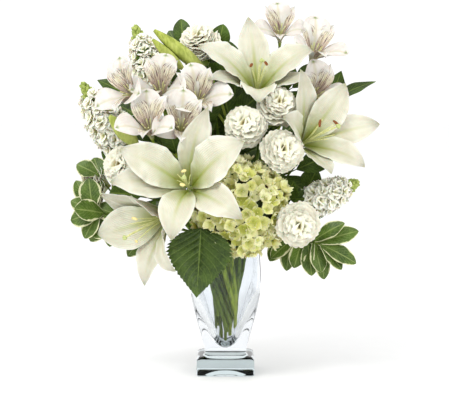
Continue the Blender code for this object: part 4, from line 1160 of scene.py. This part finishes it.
# %% The sprigs
BROAD = dict(peak=0.6, fullness=0.7, fold=0.12)
POINTED = dict(peak=0.42, fullness=1.0, fold=0.16)
SPRIGS = {  # place and points; leaf shape, the way leaves face, and finish; leaves; side twigs
    "pittosporum_left": (
        ("outer", 5), ((-40, -32, 198), (-82, -50, 214), (-140, -62, 226), (-184, -66, 236)),
        BROAD, (-10, 30), CREAM_LEAF, (
            (0, (-110, 62), 50, 12, 10), (4, (-80, 28), 36, 12, 0), (12, (-70, -50), 42, 14, 10),
            (22, (-100, -34), 46, 12, -20), (34, (-60, -70), 44, 13, 10), (92, (-76, -42), 62, 15, 0),
            (2, (-60, 80), 46, 15, 0), (6, (-96, 74), 48, 16, 12), (10, (-128, 46), 42, 15, -8),
            (14, (-90, -8), 46, 17, 0), (18, (-50, 14), 46, 16, -12), (24, (-80, -48), 46, 17, 8),
            (30, (-120, -16), 46, 16, 0), (38, (-64, -30), 46, 16, -10), (48, (-84, 24), 46, 15, 6),
            (58, (-60, -50), 44, 15, 0), (70, (-100, -20), 44, 15, 10)),
        ((56, ((-150, -50, 250), (-176, -48, 284)), (
            (0, (-84, 30), 34, 13, 0), (6, (-130, 64), 34, 13, 0),
            (10, (-60, -30), 34, 13, 10), (18, (-110, 4), 34, 13, -10))),)),
    "pittosporum_right": (
        ("outer", 10), ((43, -2, 199), (82, -30, 199), (130, -70, 190)),
        BROAD, (10, 40), CREAM_LEAF, (
            (0, (66, -40), 46, 11, 0), (5, (80, 22), 60, 13, 10), (12, (30, -56), 44, 12, 0),
            (18, (84, -10), 58, 11, -20), (30, (-30, -50), 44, 12, 10), (44, (-50, -26), 48, 11, 0),
            (2, (72, -20), 58, 13, 8), (8, (52, -66), 52, 13, -8), (14, (60, 36), 54, 12, 0),
            (22, (12, -60), 50, 13, 10), (40, (62, -34), 52, 13, -10), (52, (-14, -60), 50, 12, 6),
            (60, (-40, -40), 46, 12, 0)),
        ()),
    "salal_back": (
        ("inner", 0), ((-24, 40, 300), (-50, 60, 400), (-60, 56, 458)),
        BROAD, (0, 20), DARK_LEAF, (
            (0, (-60, 84), 46, 13, 0), (8, (80, 56), 48, 12, 10), (10, (-90, 58), 46, 12, -10),
            (44, (150, 30), 52, 17, 0), (70, (-150, 28), 52, 17, 0)),
        side_twigs(
            spray,
            (150, (-8, 20, 330), (12, -4, 362), (30, 30), 6, 11, 60, 17),
            (120, (10, 30, 380), (36, 22, 410), (60, 50), 5, 12, 52, 16),
            (160, (30, 22, 312), (78, 10, 352), (60, 40), 7, 13, 56, 17),
            (90, (-80, 20, 400), (-96, 2, 420), (-40, 50), 5, 12, 50, 15),
            (170, (-60, 14, 300), (-96, -14, 330), (-50, 34), 7, 13, 56, 17),
            (190, (-50, 0, 268), (-70, -26, 296), (-20, 30), 6, 11, 50, 16),
            (200, (50, 10, 268), (100, -16, 290), (60, 24), 7, 14, 56, 17),
            (196, (-70, -4, 270), (-132, -18, 296), (-66, 30), 8, 13, 48, 16),
            (186, (-46, -20, 290), (-68, -66, 318), (-20, 50), 7, 12, 46, 15),
            (204, (60, 12, 244), (124, -8, 256), (80, 14), 8, 13, 50, 16),
            (120, (40, 40, 372), (96, 30, 404), (70, 40), 7, 13, 50, 15),
            (60, (-40, 30, 440), (-12, 6, 452), (20, 60), 5, 11, 44, 14),
            (140, (-30, 10, 340), (-24, -20, 352), (0, 60), 6, 10, 48, 17),
            (206, (-60, -20, 240), (-116, -60, 256), (-60, 10), 7, 12, 46, 16),
            (208, (50, -6, 240), (90, -44, 250), (70, 4), 6, 11, 44, 15))),
    "ruscus_left": (
        ("outer", 1), ((-70, 30, 250), (-122, 40, 350), (-146, 36, 402)),
        POINTED, (-20, 30), DARK_LEAF, (
            (0, (-60, 70), 42, 11, 10), (8, (-80, 30), 46, 12, 0), (20, (100, 64), 44, 11, 0),
            (40, (-130, 24), 48, 13, 0), (62, (170, 16), 48, 13, 0)),
        ()),
    "ruscus_right": (
        ("outer", 13), ((70, 34, 250), (124, 44, 330), (154, 36, 386)),
        POINTED, (0, 50), DARK_LEAF, (
            (0, (86, 32), 68, 11, 0), (8, (60, 74), 52, 17, 0), (18, (130, 40), 48, 13, 0),
            (40, (84, -16), 54, 12, 0), (60, (150, 10), 48, 13, 0)),
        ()),
    "salal_rear": (
        ("outer", 0), ((0, 64, 228), (0, 122, 300), (2, 140, 378)),
        BROAD, (180, 30), DARK_LEAF, (
            *alternate((176, 70), 6, 21, 58, 60, 19), (104, (182, 6), 92, 22, 0),
            (120, (120, 24), 60, 20, 0), (134, (-124, 24), 60, 20, 0),
            (148, (150, 30), 56, 19, 0), (160, (-150, 30), 56, 19, 0)),
        side_twigs(
            alternate,
            (168, (-24, 66, 290), (-34, 80, 384), (-30, 66), 9, 15, 60, 54, 18),
            (160, (28, 70, 296), (48, 80, 392), (30, 66), 9, 15, 60, 54, 18),
            (150, (0, 72, 300), (4, 86, 420), (180, 66), 11, 15, 64, 54, 18),
            (112, (8, 112, 330), (12, 120, 414), (150, 72), 8, 15, 60, 50, 17),
            (100, (-10, 118, 330), (-30, 122, 396), (-140, 66), 7, 15, 60, 50, 17),
            (104, (34, 104, 286), (84, 116, 330), (120, 46), 5, 17, 52, 52, 17),
            (122, (-36, 104, 276), (-84, 118, 322), (-120, 46), 5, 17, 52, 52, 17))),
}


# %% Twigs with leaves
def grow_twig(growth, path, radius, leaves, style, face, finish, rng):
    """A tapering tube, and each leaf where it leaves the twig."""
    growth.tube(path, stem_radii(path, radius) * tapered(path, [0, 0.9, 1], [1, 0.9, 0.5]), 9, TWIG)
    for back, toward, length, half, roll in leaves:
        base, _ = along(path, back)
        sheet, u, v = leaf_sheet(length, half, droop=DROOP, rng=rng, **style)
        growth.sheet(base + sheet @ leaf_axes(toward, face, roll), u, v, rng.uniform(), 0.6, finish)


def make_sprig(name, ring, points, style, face, finish, leaves, twigs):
    """The main twig from the vase, and the thinner side twigs."""
    growth, rng = Growth(), np.random.default_rng(len(name) * 13)
    path = stem_path(*ring, *points)
    grow_twig(growth, path, 1.7, leaves, style, face, finish, rng)
    for back, side_points, side_leaves in twigs:
        side_path = branch_path([along(path, back)[0], *side_points])
        grow_twig(growth, side_path, 1.3, side_leaves, style, face, finish, rng)
    growth.piece(name + "_sprig", [name], "foliage")


for sprig, parts in SPRIGS.items():
    make_sprig(sprig, *parts)

# %% [markdown]
# ## The vase
# The vase is one piece of clear glass: a thick square foot, a waist, a body that swells to a soft
# square and a plain rim. A lathe can't turn a square, so the wall is a list of rings instead, each a
# square with round corners of its own radius, running from under the foot over the rim and down the
# hollow to its floor. The wall therefore has two real surfaces, which is what bends light through it.


# %% Glass walls
VASE_HEIGHT = 193.0


def rounded_square(height, half, corner, arc=12):
    """Four arcs of a radius about the corners of a square: c + corner (cos w, sin w)."""
    w = (np.arange(4)[:, None] + np.linspace(0, 1, arc)[None]) * np.pi / 2
    reach = half - corner
    sign_x, sign_y = np.array([1, -1, -1, 1])[:, None], np.array([1, 1, -1, -1])[:, None]
    x, y = sign_x * reach + corner * np.cos(w), sign_y * reach + corner * np.sin(w)
    return np.stack([x, y, np.full_like(x, height)], -1).reshape(-1, 3)


def vase_profile():
    """(height, half width, corner radius) from under the foot, over the rim, to the hollow's floor. The
    body's half width is 28.8 + 21.2 sin(90 t)^1.25, and the hollow's is 44.2 share^0.47."""
    under = [(3, 7, 7), (2.25, 18.5, 18.5), (1.0, 25, 25), (0.2, 27.6, 27.6), (0, 28.6, 28.6)]
    foot = [(0, 39, 4), (0.5, 39.9, 4.6), (1.5, 40.5, 5), (12, 40.5, 5), (21.5, 40.5, 5),
            (23.4, 40.2, 5), (25, 39.1, 5), (26.2, 37.4, 5), (27, 35.4, 5.4)]
    waist = [(27.4, 33.4, 6), (27.6, 31.6, 7), (28.2, 29.9, 8), (29.4, 29.1, 8.6)]
    body = [(31.5 + 106.5 * t, 28.8 + 21.2 * math.sin(t * math.pi / 2) ** 1.25, 9 + 11 * t)
            for t in np.linspace(0, 1, 34)]
    neck = [(147, 49.9, 20), (156, 49.3, 20), (165, 48.6, 20), (174, 48.4, 20), (182, 48.9, 20)]
    rim = [(188, 49.8, 20), (191, 50.4, 20), (192.3, 50.3, 20), (VASE_HEIGHT, 49.5, 19.5), (193.2, 48.2, 19),
           (VASE_HEIGHT, 46.8, 18.5), (192, 45.8, 18), (187, 44.7, 18)]
    inner = [(180, 44.2, 18), (174, 44, 18), (162, 44.4, 18.6), (150, 45.3, 19), (138, 45.2, 19.4),
             (128, 44.7, 19.8)]
    hollow = [(38 + 82 * share, 44.2 * share**0.47, min(44.2 * share**0.47, 20 + 10 * (1 - share)))
              for share in np.linspace(1, 0.02, 30) ** 1.6]
    return [*under, *foot, *waist, *body, *neck, *rim, *inner, *hollow, (38, 4, 4)]


# %% [markdown]
# Thick pressed glass is clear in a thin wall and blue-green where light crosses a lot of it. A volume
# inside the glass would do that, but a tint by height on its surface is quicker and can be baked, so
# the foot gets a deeper colour and the wall a paler one.


# %% Clear glass
def glass_finish():
    """Clear glass, faintly rippled. The foot is thick, so it is given a deeper blue-green."""
    f = Finish("clear_glass", IOR=1.38, Transmission_Weight=1.0, Specular_Tint=(0.6, 0.62, 0.63, 1.0))
    ripple = f.any.noise(28.0, 2.0)
    clear = ripple.ramp(0.3, 0.7).tinted((0.84, 0.87, 0.9), (0.89, 0.915, 0.935))
    f.set(Base_Color=f.along.ramp(0.1, 0.2).tinted((0.64, 0.73, 0.75), clear), Roughness=ripple * 0.004)
    f.relief(ripple, 0.06)
    return f.material


def make_vase():
    """The rings of the profile as one skin. Its marks hold the height as a share of the vase's."""
    growth = Growth()
    rings = np.stack([rounded_square(*ring) for ring in vase_profile()])
    ends = rings[[0, -1]].mean(axis=1, keepdims=True).repeat(rings.shape[1], axis=1)
    rings = np.concatenate([ends[:1], rings, ends[1:]])
    height = rings[..., 2] / VASE_HEIGHT
    growth.skin(rings, np.stack([height, 0 * height, 0 * height], -1), glass_finish())
    growth.piece("glass_vase", ["vase"], "vase_glass", crease=40)


make_vase()

# %% [markdown]
# ## Floor, light and camera
# The flowers stand on a plain pale floor under soft light from all round. A large lamp high on the
# left in front models the petals, and a weaker one low on the right fills their shade. A sun lamp
# would draw hard shadows, so both are wide discs. A long lens keeps the far flowers as large as the
# near ones, so the camera stands well back and looks a little down.


# %% Floor
def make_floor(reach=12.0):
    """A square of floor, reach metres to each side."""
    mesh = bpy.data.meshes.new("floor")
    corners = [(x, y, 0) for x, y in ((-reach, -reach), (reach, -reach), (reach, reach), (-reach, reach))]
    mesh.from_pydata(corners, [], [(0, 1, 2, 3)])
    floor = bpy.data.objects.new("floor", mesh)
    bpy.context.scene.collection.objects.link(floor)
    f = Finish("pale_floor")
    grain = f.any.noise(30.0)
    pale = grain.ramp(0.2, 0.8).tinted((0.9, 0.9, 0.9), (0.915, 0.915, 0.915))
    f.set(Base_Color=pale, Roughness=0.5 + grain * 0.2)
    mesh.materials.append(f.material)


make_floor()

# %% Light
world = bpy.data.worlds.new("studio")
bpy.context.scene.world = world
world.use_nodes = True
background = world.node_tree.nodes["Background"]
background.inputs["Color"].default_value = (1.0, 1.0, 1.0, 1.0)
background.inputs["Strength"].default_value = 1.1


def lamp(name, place, aim, size, power):
    """A round area lamp, whose light leaves along its own downward axis, turned to its aim."""
    light = bpy.data.lights.new(name, "AREA")
    light.shape, light.size, light.energy = "DISK", size, power
    obj = bpy.data.objects.new(name, light)
    bpy.context.scene.collection.objects.link(obj)
    matrix = np.eye(4)
    matrix[:3, :3] = axes_toward(np.array(place) - np.array(aim), 0.0).T
    matrix[:3, 3] = place
    obj.matrix_world = Matrix(matrix.tolist())
    print("lamp:", name, power, "watts")


MIDDLE = (0, 0, 0.3)
lamp("key", (-1.3, -1.9, 2.4), MIDDLE, 1.1, 48.0)
lamp("fill", (1.7, -1.7, 1.1), MIDDLE, 1.4, 14.0)
bpy.context.scene.view_settings.view_transform = "Standard"

# %% Camera
target, distance, rise = np.array([-0.0014, 0.0, 0.2455]), 2.2, 4.5
place = target + heading(0, rise) * distance
camera_data = bpy.data.cameras.new("camera")
camera_data.sensor_width, camera_data.lens = 36.0, 124.5
camera = bpy.data.objects.new("camera", camera_data)
bpy.context.scene.collection.objects.link(camera)
camera.location = tuple(place)
camera.rotation_euler = (math.radians(90 - rise), 0, 0)
bpy.context.scene.camera = camera
print("camera at", place.round(3))

# %% [markdown]
# ## Last step
# The view layer is brought up to date, so every piece stands where it was placed.

# %% Update
bpy.context.view_layer.update()
